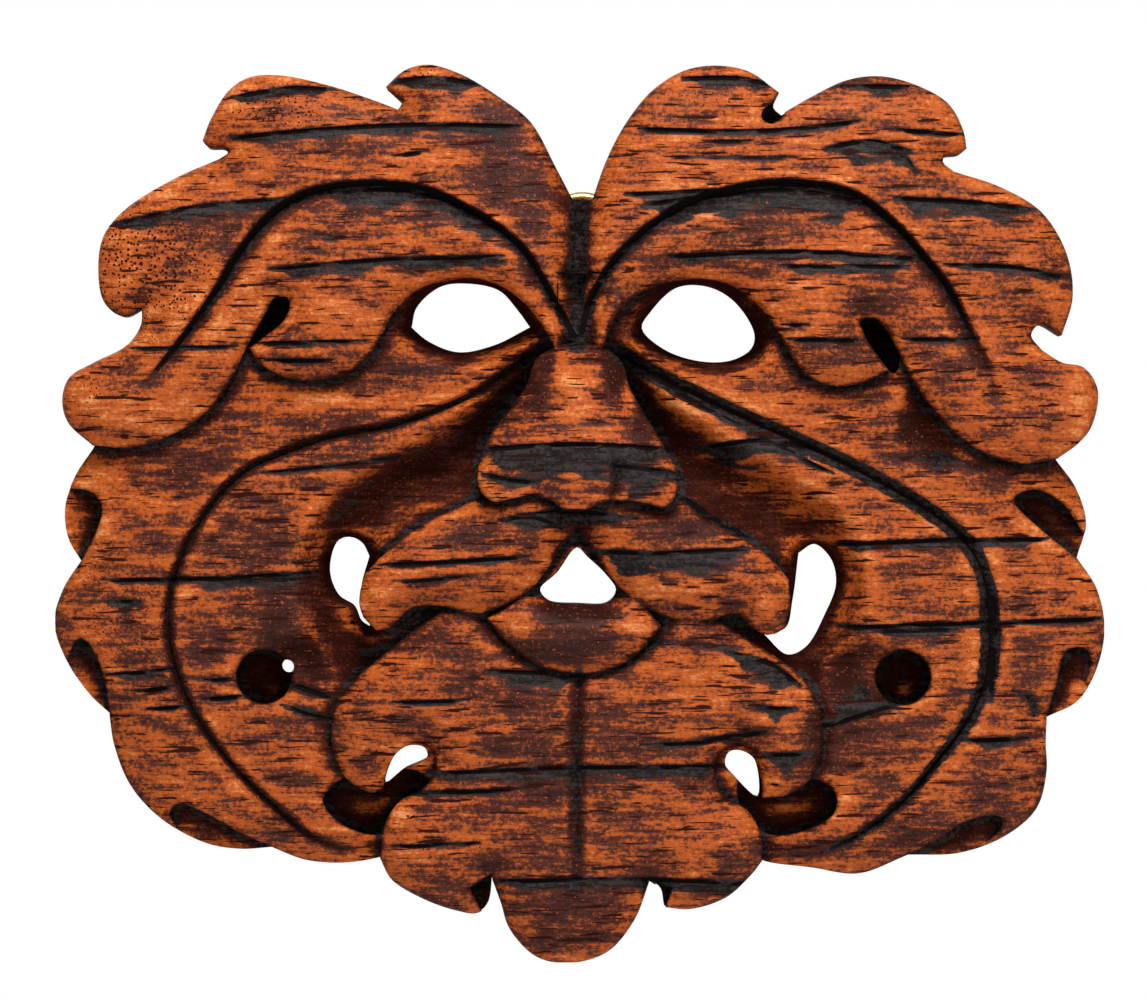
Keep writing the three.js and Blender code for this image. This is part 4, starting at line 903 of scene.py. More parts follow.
def skin_height(code, used, tops, bits):
    """The carved height at the used points, in the part of the plan where the code's outlines overlap."""
    height = np.full(len(used), -FAR)
    if code & bits["cheeks"]:
        height = tops["cheeks"][used]
        for name, bit in bits.items():
            floor = FLOORS.get(name.split()[0])
            if floor and code & bit:
                height = np.minimum(height, floor)
    for name in ("brow", "chin", "lip", "moustache"):
        if code & bits[name]:
            height = np.maximum(height, tops[name][used])
    if code & bits["nose"]:
        blend = 1.5 if code & bits["brow"] else 0.01
        height = softer_high(height, tops["nose"][used], blend)
    if any(code & bit for name, bit in bits.items() if name.startswith("notch")):
        height = np.minimum(height, NOTCH_FLOOR)
    return height


def rim_edges(triangles, group):
    """Edges between triangles of different groups, each with the triangles on its sides (-1 for none)."""
    ends = np.sort(np.vstack([triangles[:, [0, 1]], triangles[:, [1, 2]], triangles[:, [2, 0]]]), axis=1)
    owner = np.tile(np.arange(len(triangles)), 3)
    order = np.lexsort((ends[:, 1], ends[:, 0]))
    ends, owner = ends[order], owner[order]
    is_pair = np.all(ends[1:] == ends[:-1], axis=1)
    first = np.flatnonzero(is_pair)
    paired = np.zeros(len(ends), bool)
    paired[first] = paired[first + 1] = True
    between = first[group[owner[first]] != group[owner[first + 1]]]
    inner = [(tuple(ends[i]), owner[i], owner[i + 1]) for i in between]
    outer = [(tuple(ends[i]), owner[i], -1) for i in np.flatnonzero(~paired)]
    return inner, outer


def chain(start, end):
    """The copies of one point of the plan, from one height to another."""
    return list(range(start, end + 1)) if start <= end else list(range(start, end - 1, -1))


def front_height(plan, triangles, fronts, bits, tops, relief):
    """The carved height at each triangle's corners: it jumps where one leaf ends over another."""
    height = np.zeros(triangles.shape)
    for code in np.unique(fronts):
        own = fronts == code
        used = np.unique(triangles[own])
        top = np.zeros(len(plan))
        top[used] = skin_height(code, used, tops, bits) - relief[used]
        height[own] = top[triangles[own]]
    return np.clip(height, THINNEST, -MASK_LOW.y / MM - 0.05)


def flat_back(plan, inner, outer, backs):
    """The back in few flat triangles between its rims, each with the depth of the pocket there."""
    rim = [ends for ends, _, _ in inner + outer]
    rim_points = sorted({i for ends in rim for i in ends})
    number_of = {i: number for number, i in enumerate(rim_points)}
    spots = [Vector(plan[i]) for i in rim_points]
    laid = delaunay_2d_cdt(spots, [(number_of[a], number_of[b]) for a, b in rim], [], 0, 1e-6, True)
    origin = [rim_points[ids[0]] for ids in laid[3]]
    flat = np.array([[origin[i] for i in face] for face in laid[2]])
    edge = np.array([ends for ends, _, _ in outer])
    flat = flat[is_enclosed(plan[flat].mean(axis=1), plan[edge[:, 0]], plan[edge[:, 1]])]
    middle = plan[flat].mean(axis=1)
    depth = np.zeros(len(flat))
    for ring, deep in backs:
        depth = np.where(is_inside(middle, ring), np.maximum(depth, deep), depth)
    return flat, depth


def key_of(point, level):
    """One whole number for a point of the plan at a height, which is kept to 1/HEIGHTS of a millimetre."""
    return point.astype(np.int64) * POINTS_APART + np.round(level * HEIGHTS).astype(np.int64)


def carved_skin(settings):
    """The whole mask as points and faces, with a level of weathering for each point."""
    rings = drawn_rings()
    points = plan_points(rings, settings.across / MM, settings.up / MM)
    plan, triangles, codes, bits = triangulated(rings, points)
    leaf_bits = sum(bits[name] for name in LEAVES)
    hole_bits = sum(bit for name, bit in bits.items() if name.startswith("hole"))
    back_bits = sum(bit for name, bit in bits.items() if name.startswith("back"))
    kept = ((codes & leaf_bits) > 0) & ((codes & hole_bits) == 0)
    triangles, codes = triangles[kept], codes[kept]
    fronts = codes & ~(hole_bits | back_bits)
    tops = front_tops(plan, triangles, fronts, bits, rings, settings.arris / MM)
    streaks, cracks_and_shadow = streak_at(plan)
    pores = pores_at(plan, settings.pores, settings.seed)
    relief = grain_at(plan, settings) + settings.pore / MM * pores
    relief += settings.streak / MM * (streaks + cracks_and_shadow)
    height = front_height(plan, triangles, fronts, bits, tops, relief)

    depth = np.zeros(len(triangles))
    backs = pocket_rings()
    for number, (_, deep) in enumerate(backs):
        own = (codes & bits[f"back {number}"]) > 0
        depth[own] = np.maximum(depth[own], deep)
    back_inner, outer = rim_edges(triangles, depth)
    front_inner, _ = rim_edges(triangles, fronts)
    flat, flat_depth = flat_back(plan, back_inner, outer, backs)

    front_keys = key_of(triangles, height)
    back_keys = key_of(flat, np.repeat(flat_depth[:, None], 3, axis=1))
    copies, order = np.unique(np.concatenate([front_keys.ravel(), back_keys.ravel()]), return_inverse=True)
    order = order.ravel()
    front = order[: front_keys.size].reshape(-1, 3)
    back = order[front_keys.size :].reshape(-1, 3)
    at, level = np.divmod(copies, POINTS_APART)

    def front_copy(triangle, point):
        return int(front[triangle][list(triangles[triangle]).index(point)])

    def back_copy(point, deep):
        return int(np.searchsorted(copies, key_of(np.array(point), np.array(deep))))

    walls = []

    def add_wall(first, second):
        if first[0] != first[1] or second[0] != second[1]:
            walls.append([*chain(*first), *chain(*second[::-1])])

    for ends, one, other in front_inner:
        add_wall(*((front_copy(one, end), front_copy(other, end)) for end in ends))
    for ends, one, _ in outer:
        add_wall(*((front_copy(one, end), back_copy(end, depth[one])) for end in ends))
    for ends, one, other in back_inner:
        add_wall(*((back_copy(end, depth[one]), back_copy(end, depth[other])) for end in ends))
    low = np.array([MASK_LOW.x, MASK_LOW.z]) / MM + 0.01
    high = np.array([MASK_HIGH.x, MASK_HIGH.z]) / MM - 0.01
    flat_place = np.clip(plan[at], low, high)
    places = np.column_stack([flat_place[:, 0], -level / HEIGHTS, flat_place[:, 1]])
    is_front = np.zeros(len(copies), bool)
    is_front[front.ravel()] = True
    levels = {"streaks": streaks, "cracks_and_shadow": cracks_and_shadow, "pores": pores}
    levels = {name: values[at] * is_front for name, values in levels.items()}
    return places, front, back[:, ::-1], walls, levels


def smoothed(values, edges, rounds):
    """Values evened out along the edges of a mesh."""
    count = len(values)
    one, other = edges[:, 0], edges[:, 1]
    shares = np.bincount(one, minlength=count) + np.bincount(other, minlength=count) + 1
    for _ in range(rounds):
        total = values + np.bincount(one, values[other], count) + np.bincount(other, values[one], count)
        values = total / shares
    return values


GOLDEN_TURN = 2.399963


def shelter_of(places, faces, used, reach, rays):
    """How much of the view from each used point is shut off by the carving around it."""
    tree = BVHTree.FromPolygons(places.tolist(), faces)
    turns = [i * GOLDEN_TURN for i in range(rays)]
    lifts = [math.sqrt((i + 0.5) / rays) for i in range(rays)]
    views = [
        Vector((lift * math.cos(turn), -math.sqrt(1 - lift * lift), lift * math.sin(turn)))
        for turn, lift in zip(turns, lifts)
    ]
    shut = np.zeros(len(places))
    for i in used:
        eye = Vector(places[i]) + Vector((0, -0.25, 0))
        shut[i] = sum(tree.ray_cast(eye, view, reach)[0] is not None for view in views) / rays
    return shut


# Materials
def wire(tree, kind, inputs=None, **settings):
    """A shader node with its settings and its inputs: a value, or an output to link from."""
    node = tree.nodes.new(kind)
    for name, value in settings.items():
        setattr(node, name, value)
    for name, value in (inputs or {}).items():
        socket = node.inputs[name]
        if isinstance(value, bpy.types.NodeSocket):
            tree.links.new(value, socket)
        else:
            socket.default_value = value
    return node


def blend_colours(tree, share, first, second):
    node = tree.nodes.new("ShaderNodeMix")
    node.data_type = "RGBA"
    for socket, value in zip((node.inputs[0], node.inputs[6], node.inputs[7]), (share, first, second)):
        if isinstance(value, bpy.types.NodeSocket):
            tree.links.new(value, socket)
        else:
            socket.default_value = value
    return node.outputs[2]


def noise_of(tree, place, scale, stretch, detail=3.0, rough=0.6):
    """Noise stretched along the grain: its scale is in features to the metre across the grain."""
    along = scale * stretch
    spot = wire(tree, "ShaderNodeMapping", {"Vector": place, "Scale": (along, along, scale)}).outputs[0]
    settings = {"Vector": spot, "Scale": 1.0, "Detail": detail, "Roughness": rough}
    return wire(tree, "ShaderNodeTexNoise", settings).outputs["Fac"]


def dots_of(tree, place, scale):
    """How far each place lies from the nearest of many scattered spots, as a share of their spacing."""
    node = wire(tree, "ShaderNodeTexVoronoi", {"Vector": place, "Scale": scale})
    return node.outputs["Distance"]


def sum_of(tree, *terms):
    """A weighted sum of outputs: pairs of an output and its weight, and last a constant."""
    total = terms[-1]
    for output, weight in terms[:-1]:
        inputs = {0: output, 1: weight, 2: total}
        total = wire(tree, "ShaderNodeMath", inputs, operation="MULTIPLY_ADD").outputs[0]
    return total


def larger_of(tree, first, second):
    return wire(tree, "ShaderNodeMath", {0: first, 1: second}, operation="MAXIMUM").outputs[0]


def step_of(tree, value, start, end):
    inputs = {"Value": value, "From Min": start, "From Max": end}
    return wire(tree, "ShaderNodeMapRange", inputs, interpolation_type="SMOOTHSTEP").outputs[0]


def level_of(tree, name):
    return wire(tree, "ShaderNodeAttribute", attribute_name=name).outputs["Fac"]


def shade(colour, share=1.0):
    """A colour for a socket, made darker or lighter."""
    return (*(share * channel for channel in colour), 1)


def new_material(name):
    material = bpy.data.materials.new(name)
    material.use_nodes = True
    material.node_tree.nodes.clear()
    tree = material.node_tree
    out = tree.nodes.new("ShaderNodeOutputMaterial")
    shader = tree.nodes.new("ShaderNodeBsdfPrincipled")
    tree.links.new(shader.outputs[0], out.inputs[0])
    return material, tree, shader


def ramp_of(tree, value, stops):
    """Colours met one after another as a value climbs: pairs of the value and the colour there."""
    node = wire(tree, "ShaderNodeValToRGB", {"Fac": value})
    band = node.color_ramp
    for place, _ in stops[1:-1]:
        band.elements.new(place)
    for element, (place, colour) in zip(band.elements, stops):
        element.position = place
        element.color = (*colour, 1)
    return node.outputs["Color"]


def stained_wood(settings):
    """Dark stain wiped back to the orange wood on the high ground, with charcoal-grey weathered grain, and
    painted shade in the hollows, creases, vein bottoms and under the streaks' ledges, and listed spots of
    painted shade and light.
    """
    material, tree, shader = new_material("stained_wood")
    place = wire(tree, "ShaderNodeTexCoord").outputs["Object"]
    shelter, crease_soot_and_shade, streaks = (level_of(tree, name) for name in ("shelter", "crease_soot_and_shade", "streaks"))
    broad = noise_of(tree, place, 50.0, 0.6, 4.0)
    patch = noise_of(tree, place, 380.0, 0.33, 6.0, 0.7)
    line = noise_of(tree, place, 1100.0, 0.1, 4.0, 0.6)
    speck = noise_of(tree, place, 1300.0, 0.85, 3.0, 0.7)
    fleck = noise_of(tree, place, 2200.0, 0.75, 2.0, 0.6)
    dash = noise_of(tree, place, 1900.0, 0.08, 1.0, 0.5)
    dots = dots_of(tree, place, 1250.0)
    # How far the stain is wiped back: the shelter term leaves stain in the hollows and paints their shade
    # with it, the crease term paints the shade in the creases, and the listed spots paint shade and light
    worn = sum_of(
        tree,
        (shelter, -0.3),
        (crease_soot_and_shade, -0.5),
        (level_of(tree, "crest"), 0.2),
        (streaks, -0.25),
        (level_of(tree, "stain_and_painted_light"), -0.35),
        (broad, 0.8),
        (patch, 0.95),
        (line, 0.85),
        (speck, 0.85),
        -1.3,
    )
    flecks = sum_of(tree, (step_of(tree, fleck, 0.58, 0.7), 0.56), (shelter, -0.3), 0.0)
    worn = larger_of(tree, worn, flecks)
    stain = Vector(settings.stain)
    wood = Vector(settings.wood)
    umber = Vector(settings.umber)
    tone = ramp_of(
        tree,
        worn,
        [
            (0.0, 0.6 * stain),
            (0.2, stain),
            (0.37, umber),
            (0.45, umber.lerp(wood, 0.3)),
            (0.54, umber.lerp(wood, 0.85)),
            (0.66, wood),
            (0.92, settings.worn),
        ],
    )
    # Where the soot goes: down the veins, into the creases and along the streaks; in the veins and creases
    # it is also painted shade
    soot_and_shade_level = sum_of(
        tree,
        (level_of(tree, "sooted_and_shaded"), 0.9),
        (crease_soot_and_shade, 1.9),
        (streaks, 1.1),
        (line, 0.5),
        (patch, 0.9),
        (speck, 0.6),
        -1.5,
    )
    slate = sum_of(tree, (speck, 1.6), (line, 1.4), -1.0)
    # The blackest soot, which also paints the shadow in the creases and under the ledges of the cracks
    black_soot_and_shadow = shade(settings.charcoal, 0.3)
    soot_and_shade_colour = blend_colours(tree, step_of(tree, slate, 0.3, 0.75), black_soot_and_shadow, shade(settings.charcoal, 1.5))
    sooted_and_shaded = blend_colours(tree, step_of(tree, soot_and_shade_level, 0.0, 0.1), tone, soot_and_shade_colour)
    pore = sum_of(tree, (dash, 1.0), (level_of(tree, "pores"), 0.3), (patch, -0.25), (broad, 0.25), 0.0)
    dot = sum_of(tree, (dots, -1.0), (level_of(tree, "dotted"), 0.42), (speck, 0.75), -0.36)
    # The crack along each streak's upper edge and each vein's steep side: its black paints the shadow under
    # that ledge
    crack = sum_of(tree, (level_of(tree, "cracks_and_shadow"), 1.0), (speck, 0.8), (line, 0.4), -0.6)
    pitted = larger_of(tree, step_of(tree, pore, 0.66, 0.72), step_of(tree, dot, 0.0, 0.12))
    cracked_and_shadowed = step_of(tree, crack, 0.45, 0.7)
    sunken = larger_of(tree, pitted, cracked_and_shadowed)
    grained = blend_colours(tree, pitted, sooted_and_shaded, shade(stain, 0.7))
    tree.links.new(blend_colours(tree, cracked_and_shadowed, grained, black_soot_and_shadow), shader.inputs["Base Color"])
    rough = sum_of(tree, (shelter, 0.3), (speck, 0.3), settings.roughness - 0.15)
    tree.links.new(rough, shader.inputs["Roughness"])
    gloss = sum_of(tree, (shelter, -0.6), (sunken, -0.1), 0.13)
    tree.links.new(larger_of(tree, gloss, 0.0), shader.inputs["Specular IOR Level"])
    relief = sum_of(tree, (patch, 0.5), (line, 0.6), (speck, 0.9), (sunken, -0.7), 0.0)
    bump = wire(tree, "ShaderNodeBump", {"Height": relief, "Strength": 0.75, "Distance": 0.0004})
    tree.links.new(bump.outputs[0], shader.inputs["Normal"])
    return material


def brass(name, colour):
    """Small brass ware, bright where it is round and a little dulled in fine scratches."""
    material, tree, shader = new_material(name)
    place = wire(tree, "ShaderNodeTexCoord").outputs["Object"]
    cloud = noise_of(tree, place, 260.0, 1.0, 4.0)
    scratch = noise_of(tree, place, 3200.0, 0.06, 2.0)
    tone = blend_colours(tree, step_of(tree, cloud, 0.5, 0.72), shade(colour), shade(colour, 0.55))
    tree.links.new(tone, shader.inputs["Base Color"])
    shader.inputs["Metallic"].default_value = 1.0
    tree.links.new(sum_of(tree, (cloud, 0.3), (scratch, 0.15), 0.08), shader.inputs["Roughness"])
    bump = wire(tree, "ShaderNodeBump", {"Height": scratch, "Strength": 0.15, "Distance": 0.00005})
    tree.links.new(bump.outputs[0], shader.inputs["Normal"])
    return material


# Helpers for work by hand
def fresh(name):
    """The piece just added, alone in the selection, under its own name."""
    piece = bpy.context.object
    piece.name = piece.data.name = name
    return piece


def only(piece):
    if bpy.context.object and bpy.context.object.mode != "OBJECT":
        bpy.ops.object.mode_set(mode="OBJECT")
    bpy.ops.object.select_all(action="DESELECT")
    piece.select_set(True)
    bpy.context.view_layer.objects.active = piece


def settle(piece):
    """Turn, size and place go into the mesh, so that the piece stands at the origin."""
    only(piece)
    bpy.ops.object.transform_apply(location=True, rotation=True, scale=True)


def apply_modifier(piece, kind, **settings):
    only(piece)
    modifier = piece.modifiers.new(kind.lower(), kind)
    for name, value in settings.items():
        setattr(modifier, name, value)
    bpy.ops.object.modifier_apply(modifier=modifier.name)


def bevelled(piece, width, segments):
    apply_modifier(piece, "BEVEL", width=width, segments=segments, limit_method="ANGLE", angle_limit=0.7)


def join_or_cut(piece, tool, operation):
    settle(tool)
    apply_modifier(piece, "BOOLEAN", object=tool, operation=operation, solver="EXACT")
    bpy.data.objects.remove(tool)


def tidied(piece, gap=0.000005):
    """Points that cuts and bevels leave on one another become one, and faces without area go."""
    only(piece)
    bpy.ops.object.mode_set(mode="EDIT")
    bpy.ops.mesh.select_all(action="SELECT")
    bpy.ops.mesh.remove_doubles(threshold=gap)
    bpy.ops.mesh.dissolve_degenerate(threshold=gap)
    bpy.ops.object.mode_set(mode="OBJECT")


def finish_in(piece, material):
    bpy.ops.object.shade_smooth_by_angle(angle=math.radians(35))
    piece.data.materials.clear()
    piece.data.materials.append(material)


def rod(name, radius, front, back, height, sides=48):
    bpy.ops.object.select_all(action="DESELECT")
    bpy.ops.mesh.primitive_cylinder_add(
        vertices=sides,
        radius=radius,
        depth=back - front,
        location=(0, (front + back) / 2, height),
        rotation=(math.pi / 2, 0, 0),
    )
    return fresh(name)


# What a user of the add-on can change
def a_length(name, description, default, **limits):
    settings = {"name": name, "description": description, "default": default, **limits}
    return bpy.props.FloatProperty(precision=5, unit="LENGTH", **settings)


def a_colour(name, description, default):
    settings = {"name": name, "description": description, "default": default}
    return bpy.props.FloatVectorProperty(subtype="COLOR", min=0.0, max=1.0, **settings)


def a_number(name, description, default, **settings):
    return bpy.props.FloatProperty(name=name, description=description, default=default, **settings)


class MaskSettings(bpy.types.PropertyGroup):
    across: a_length(
        "Spacing Across", "Distance between the skin's points along the grain", 0.0009, min=0.0003
    )
    up: a_length("Spacing Up", "Distance between the skin's points across the grain", 0.00042, min=0.0002)
    arris: a_length("Worn Arris", "Radius of the worn arris along each leaf", 0.0008, min=0.0002)
    grain: a_number("Grain", "Depth of the raised grain, in millimetres", 0.14, min=0.0)
    hand: a_number("Tool Waves", "Depth of the slow waves that the tool left, in millimetres", 0.3, min=0.0)
    streak: a_length("Streak Depth", "How deep the weathered streaks have sunk", 0.00035)
    pore: a_length("Pore Depth", "How deep the open pores are", 0.00022)
    pores: bpy.props.IntProperty(name="Pores", description="Number of open pores", default=900, min=0)
    seed: bpy.props.IntProperty(name="Seed", description="Scatter of the pores", default=7)
    wood: a_colour("Wood", "Colour of the wood where the stain is wiped off", (0.46, 0.089, 0.013))
    stain: a_colour("Stain", "Colour of the stain left in the hollows", (0.045, 0.0105, 0.0065))
    umber: a_colour("Umber", "Colour of the stain where it is half wiped off", (0.085, 0.02, 0.011))
    worn: a_colour("Worn Wood", "Colour of the wood where it is most worn", (0.74, 0.26, 0.085))
    charcoal: a_colour("Charcoal", "Colour of the weathered grain", (0.024, 0.018, 0.017))
    roughness: a_number("Roughness", "Roughness of the waxed wood", 0.5, min=0.0, max=1.0, subtype="FACTOR")


class HangerSettings(bpy.types.PropertyGroup):
    wire: a_length("Wire", "Thickness of the ring's wire", RING_WIRE * MM)
    tab: a_length("Tab Thickness", "Thickness of the tab that the screw holds", 0.0016)
    bevel: a_length("Bevel", "Rounding of the stamped edges", 0.0003)
    colour: a_colour("Brass", "Colour of the brass", (0.72, 0.52, 0.16))


class ScrewSettings(bpy.types.PropertyGroup):
    head: a_length("Head Height", "Height of the screw's head", 0.0014)
    slot: a_length("Slot Width", "Width of the slot across the head", 0.0008)
    bevel: a_length("Bevel", "Rounding of the head's edge", 0.0006)
    colour: a_colour("Brass", "Colour of the screw's brass", (0.62, 0.46, 0.16))


class StageSettings(bpy.types.PropertyGroup):
    paper: a_colour("Paper", "Colour of the floor", (0.86, 0.86, 0.86))
    key: a_number("Key Light", "Power of the main light", 9.7, unit="POWER")
    fill: a_number("Fill Light", "Power of the soft light", 3.9, unit="POWER")
    back: a_number("Back Light", "Power of the light behind", 6.0, unit="POWER")
    room: a_number("Room Light", "Strength of the light all round", 0.42)
    backdrop: a_number("Backdrop", "Brightness of the backdrop all round", 1.0)
    distance: a_length("Camera Distance", "How far in front of the mask the camera stands", 1.4)


def weathering(places, front, walls, edges, levels):
    """Every level that steers the stain and the painted shade and light, for each point of the skin: the
    flat back keeps a plain stain.
    """
    used = np.unique(front)
    cover = [*front.tolist(), *walls]
    shelter = shelter_of(places, cover, used.tolist(), reach=14.0, rays=20)
    # The creases where one leaf meets another: soot, and the painted shade that falls in them
    crease_soot_and_shade = shelter_of(places, cover, used.tolist(), reach=2.6, rays=12)
    crest = np.tanh((-places[:, 1] - smoothed(-places[:, 1], edges, 9)) / 0.22)
    plan = places[:, [0, 2]]
    # Soot down the cleft and the vein bottoms, which also paints the shade in these grooves
    sooted_and_shaded = np.clip(1.4 - gap_along(plan, CLEFT_LINE) / 1.4, 0, 1)
    cracks_and_shadow = levels["cracks_and_shadow"]
    for drawn, size, turn, (start, most), (deep, lasting) in VEINS:
        share = vein_at(plan, drawn, size, turn > 0) / size["depth"]
        sooted_and_shaded = np.maximum(sooted_and_shaded, most * np.clip(3.5 * (share - start), 0, 1))
        far, along, side = nearest(plan, stroke(drawn, STEP))
        fade = np.clip(lasting * (1 - along / along.max()) + 0.2, 0, 1)
        # A painted shadow line along the steep side of each vein
        beside_edge = np.abs(far * side * turn - 0.35) / 0.45
        cracks_and_shadow = np.maximum(cracks_and_shadow, deep * fade * np.clip(1.6 - beside_edge, 0, 1))
    # Less soot and painted shade in the creases along the socket and curl rims
    for runs, spread in RIMS_WITH_LESS_CREASE_SHADE:
        crease_soot_and_shade *= 1 - 0.8 * np.clip(2.2 * (1.3 - gap_to(plan, runs) / spread), 0, 1)
    is_front = np.zeros(len(places))
    is_front[used] = 1
    weathered = {
        "shelter": smoothed(shelter, edges, 2),
        "crease_soot_and_shade": smoothed(crease_soot_and_shade, edges, 1),
        "crest": smoothed(crest, edges, 1),
        "sooted_and_shaded": sooted_and_shaded,
        "streaks": levels["streaks"],
        "cracks_and_shadow": cracks_and_shadow,
        "pores": levels["pores"],
        "stain_and_painted_light": level_at(plan, STAINS_AND_PAINTED_LIGHT),
        "dotted": level_at(plan, DOTTED),
    }
    weathered = {name: level * is_front for name, level in weathered.items()}
    weathered["stain_and_painted_light"] += BACK_STAIN * (1 - is_front)
    return weathered


class GREENMAN_OT_mask(bpy.types.Operator):
    """Carve and stain the mask"""

    bl_idname = "green_man.carve_mask"
    bl_label = "Carve Mask"
    bl_options = {"REGISTER", "UNDO"}

    def execute(self, context):
        settings = context.scene.green_man_mask
        places, front, back, walls, levels = carved_skin(settings)
        mesh = bpy.data.meshes.new("carved_mask")
        mesh.from_pydata((places * MM).tolist(), [], [*front.tolist(), *back.tolist(), *walls])
        piece = bpy.data.objects.new("carved_mask", mesh)
        context.collection.objects.link(piece)
        only(piece)
        bpy.ops.object.mode_set(mode="EDIT")
        bpy.ops.mesh.select_all(action="SELECT")
        bpy.ops.mesh.normals_make_consistent(inside=False)
        bpy.ops.object.mode_set(mode="OBJECT")
        bpy.ops.object.shade_smooth_by_angle(angle=math.radians(48))
        edges = np.empty(2 * len(mesh.edges), np.int32)
        mesh.edges.foreach_get("vertices", edges)
        for name, values in weathering(places, front, walls, edges.reshape(-1, 2), levels).items():
            level = mesh.attributes.new(name, "FLOAT", "POINT")
            level.data.foreach_set("value", values.astype(np.float32))
        mesh.materials.append(stained_wood(settings))
        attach(piece, "root")
        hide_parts("mask")
        return {"FINISHED"}


class GREENMAN_OT_hanger(bpy.types.Operator):
    """Bend the hanger's ring and stamp its tab"""

    bl_idname = "green_man.make_hanger"
    bl_label = "Make Hanger"
    bl_options = {"REGISTER", "UNDO"}

    def execute(self, context):
        settings = context.scene.green_man_hanger
        reach = (HANGER_HIGH.x - HANGER_LOW.x) / 2
        middle = settings.wire - reach
        front = HANGER_LOW.y
        bpy.ops.object.select_all(action="DESELECT")
        bpy.ops.mesh.primitive_torus_add(
            major_segments=96,
            minor_segments=20,
            major_radius=reach - settings.wire / 2,
            minor_radius=settings.wire / 2,
            location=(0, front + settings.wire / 2, middle),
            rotation=(math.pi / 2, 0, 0),
        )
        piece = fresh("eye_plate")
        settle(piece)
        half = TAB_WIDTH / 2 * MM
        eye = HANGER_LOW.z + half
        back = front + settings.tab
        end = rod("tab_end", half, front, back, eye)
        settle(end)
        top = middle - reach + settings.wire / 2
        bpy.ops.mesh.primitive_cube_add(size=1, location=(0, (front + back) / 2, (top + eye) / 2))
        block = fresh("tab_block")
        block.scale = (2 * half, settings.tab, top - eye)
        join_or_cut(end, block, "UNION")
        join_or_cut(end, rod("tab_hole", BORE_RADIUS * MM, front - MM, back + MM, eye), "DIFFERENCE")
        tidied(end)
        bevelled(end, settings.bevel, 3)
        join_or_cut(piece, end, "UNION")
        tidied(piece)
        finish_in(piece, brass("hanger_brass", settings.colour))
        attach(piece, "root")
        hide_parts("hanger")
        return {"FINISHED"}


class GREENMAN_OT_screw(bpy.types.Operator):
    """Turn the slotted screw that holds the hanger"""

    bl_idname = "green_man.turn_screw"
    bl_label = "Turn Screw"
    bl_options = {"REGISTER", "UNDO"}

    def execute(self, context):
        settings = context.scene.green_man_screw
        radius = (SCREW_HIGH.x - SCREW_LOW.x) / 2
        height = (SCREW_LOW.z + SCREW_HIGH.z) / 2
        under = SCREW_HIGH.y - settings.head
        shank = SHANK_RADIUS * MM
        lap = 0.0001
        piece = rod("slotted_screw", radius, under, SCREW_HIGH.y, height)
        settle(piece)
        bevelled(piece, settings.bevel, 4)
        join_or_cut(piece, rod("shank", shank, SCREW_LOW.y + 2 * shank, under + 3 * lap, height), "UNION")
        bpy.ops.object.select_all(action="DESELECT")
        bpy.ops.mesh.primitive_cone_add(
            vertices=48,
            radius1=0.0,
            radius2=shank,
            depth=2 * shank + lap,
            location=(0, SCREW_LOW.y + shank + lap / 2, height),
            rotation=(-math.pi / 2, 0, 0),
        )
        join_or_cut(piece, fresh("tip"), "UNION")
        bpy.ops.mesh.primitive_cube_add(size=1, location=(0, SCREW_HIGH.y, height), rotation=(0, 0.6, 0))
        slot = fresh("slot")
        slot.scale = (3 * radius, settings.head, settings.slot)
        join_or_cut(piece, slot, "DIFFERENCE")
        tidied(piece)
        finish_in(piece, brass("screw_brass", settings.colour))
        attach(piece, "root")
        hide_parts("hanger_screw")
        return {"FINISHED"}


def add_light(name, power, size, place, aim):
    data = bpy.data.lights.new(name, "AREA")
    data.energy = power
    data.shape = "DISK"
    data.size = size
    light = bpy.data.objects.new(name, data)
    light.location = place
    light.rotation_euler = (Vector(aim) - Vector(place)).to_track_quat("-Z", "Y").to_euler()
    bpy.context.collection.objects.link(light)


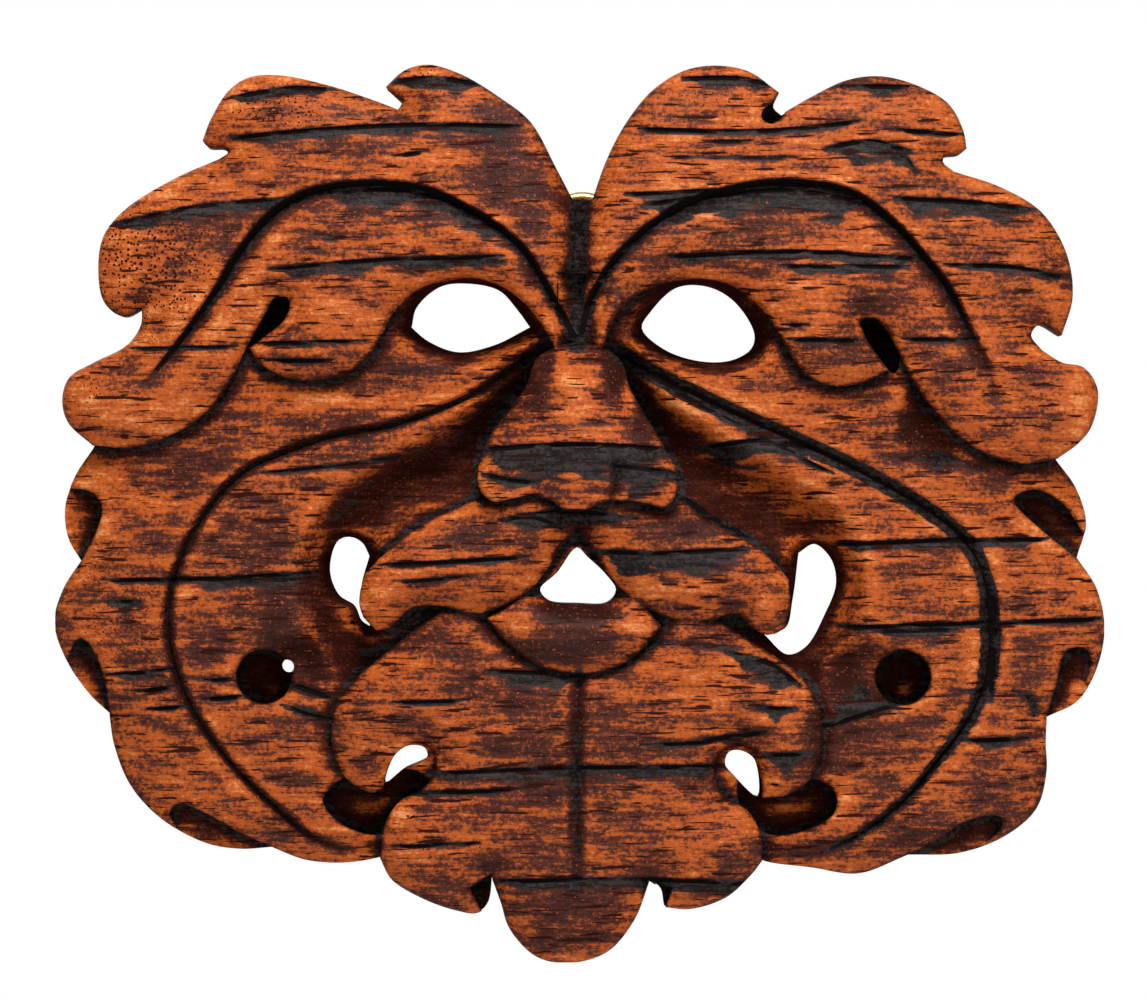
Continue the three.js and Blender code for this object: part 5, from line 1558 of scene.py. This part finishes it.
class GREENMAN_OT_stage(bpy.types.Operator):
    """Set up the pale floor, the white backdrop all round, the lights and the camera"""

    bl_idname = "green_man.set_stage"
    bl_label = "Set Stage"
    bl_options = {"REGISTER", "UNDO"}

    def execute(self, context):
        settings = context.scene.green_man_stage
        material, tree, shader = new_material("stage_paper")
        spot = wire(tree, "ShaderNodeTexCoord").outputs["Object"]
        cloud = noise_of(tree, spot, 6.0, 1.0)
        tone = blend_colours(tree, cloud, shade(settings.paper), shade(settings.paper, 1.02))
        tree.links.new(tone, shader.inputs["Base Color"])
        shader.inputs["Roughness"].default_value = 0.9
        centre = (MASK_LOW + MASK_HIGH) / 2
        bpy.ops.object.select_all(action="DESELECT")
        bpy.ops.mesh.primitive_plane_add(size=1.8, location=(0, 0, MASK_LOW.z - 0.22))
        floor = fresh("stage_floor")
        floor.data.materials.append(material)
        add_light("key_light", settings.key, 0.35, (0.02, -0.58, 0.75), centre)
        add_light("fill_light", settings.fill, 0.9, (0.9, -1.1, 0.1), centre)
        add_light("back_light", settings.back, 0.9, (-0.5, 1.1, 0.5), centre)
        world = bpy.data.worlds.new("studio")
        world.use_nodes = True
        background = world.node_tree.nodes["Background"]
        background.inputs["Color"].default_value = (1, 1, 1, 1)
        is_seen = wire(world.node_tree, "ShaderNodeLightPath").outputs["Is Camera Ray"]
        bright = sum_of(world.node_tree, (is_seen, settings.backdrop - settings.room), settings.room)
        world.node_tree.links.new(bright, background.inputs["Strength"])
        context.scene.world = world
        camera = bpy.data.cameras.new("camera")
        camera.sensor_width = 36.0
        camera.lens = camera.sensor_width * (settings.distance - VIEW_DEPTH) / (VIEW_WIDTH * SCALE * MM)
        eye = bpy.data.objects.new("camera", camera)
        middle = placed([VIEW_MIDDLE])[0] * MM
        eye.location = (middle[0], -settings.distance, middle[1])
        eye.rotation_euler = (math.pi / 2, 0, 0)
        context.collection.objects.link(eye)
        context.scene.camera = eye
        context.scene.view_settings.view_transform = "Standard"
        return {"FINISHED"}


class GREENMAN_PT_panel(bpy.types.Panel):
    bl_label = "Green Man"
    bl_idname = "GREENMAN_PT_panel"
    bl_space_type = "VIEW_3D"
    bl_region_type = "UI"
    bl_category = "Green Man"

    def draw(self, context):
        for step in STEPS:
            self.layout.operator(step.bl_idname)
        for name in GROUPS:
            settings = getattr(context.scene, name)
            box = self.layout.box()
            for item in settings.bl_rna.properties:
                if item.identifier not in {"rna_type", "name"}:
                    box.prop(settings, item.identifier)


STEPS = (GREENMAN_OT_mask, GREENMAN_OT_hanger, GREENMAN_OT_screw, GREENMAN_OT_stage)
GROUPS = {
    "green_man_mask": MaskSettings,
    "green_man_hanger": HangerSettings,
    "green_man_screw": ScrewSettings,
    "green_man_stage": StageSettings,
}
CLASSES = (*GROUPS.values(), *STEPS, GREENMAN_PT_panel)


def register():
    for item in CLASSES:
        bpy.utils.register_class(item)
    for name, group in GROUPS.items():
        setattr(bpy.types.Scene, name, bpy.props.PointerProperty(type=group))


def unregister():
    for name in GROUPS:
        delattr(bpy.types.Scene, name)
    for item in reversed(CLASSES):
        bpy.utils.unregister_class(item)


def main():
    register()
    bpy.ops.green_man.carve_mask()
    bpy.ops.green_man.make_hanger()
    bpy.ops.green_man.turn_screw()
    bpy.ops.green_man.set_stage()


if __name__ == "__main__":
    main()
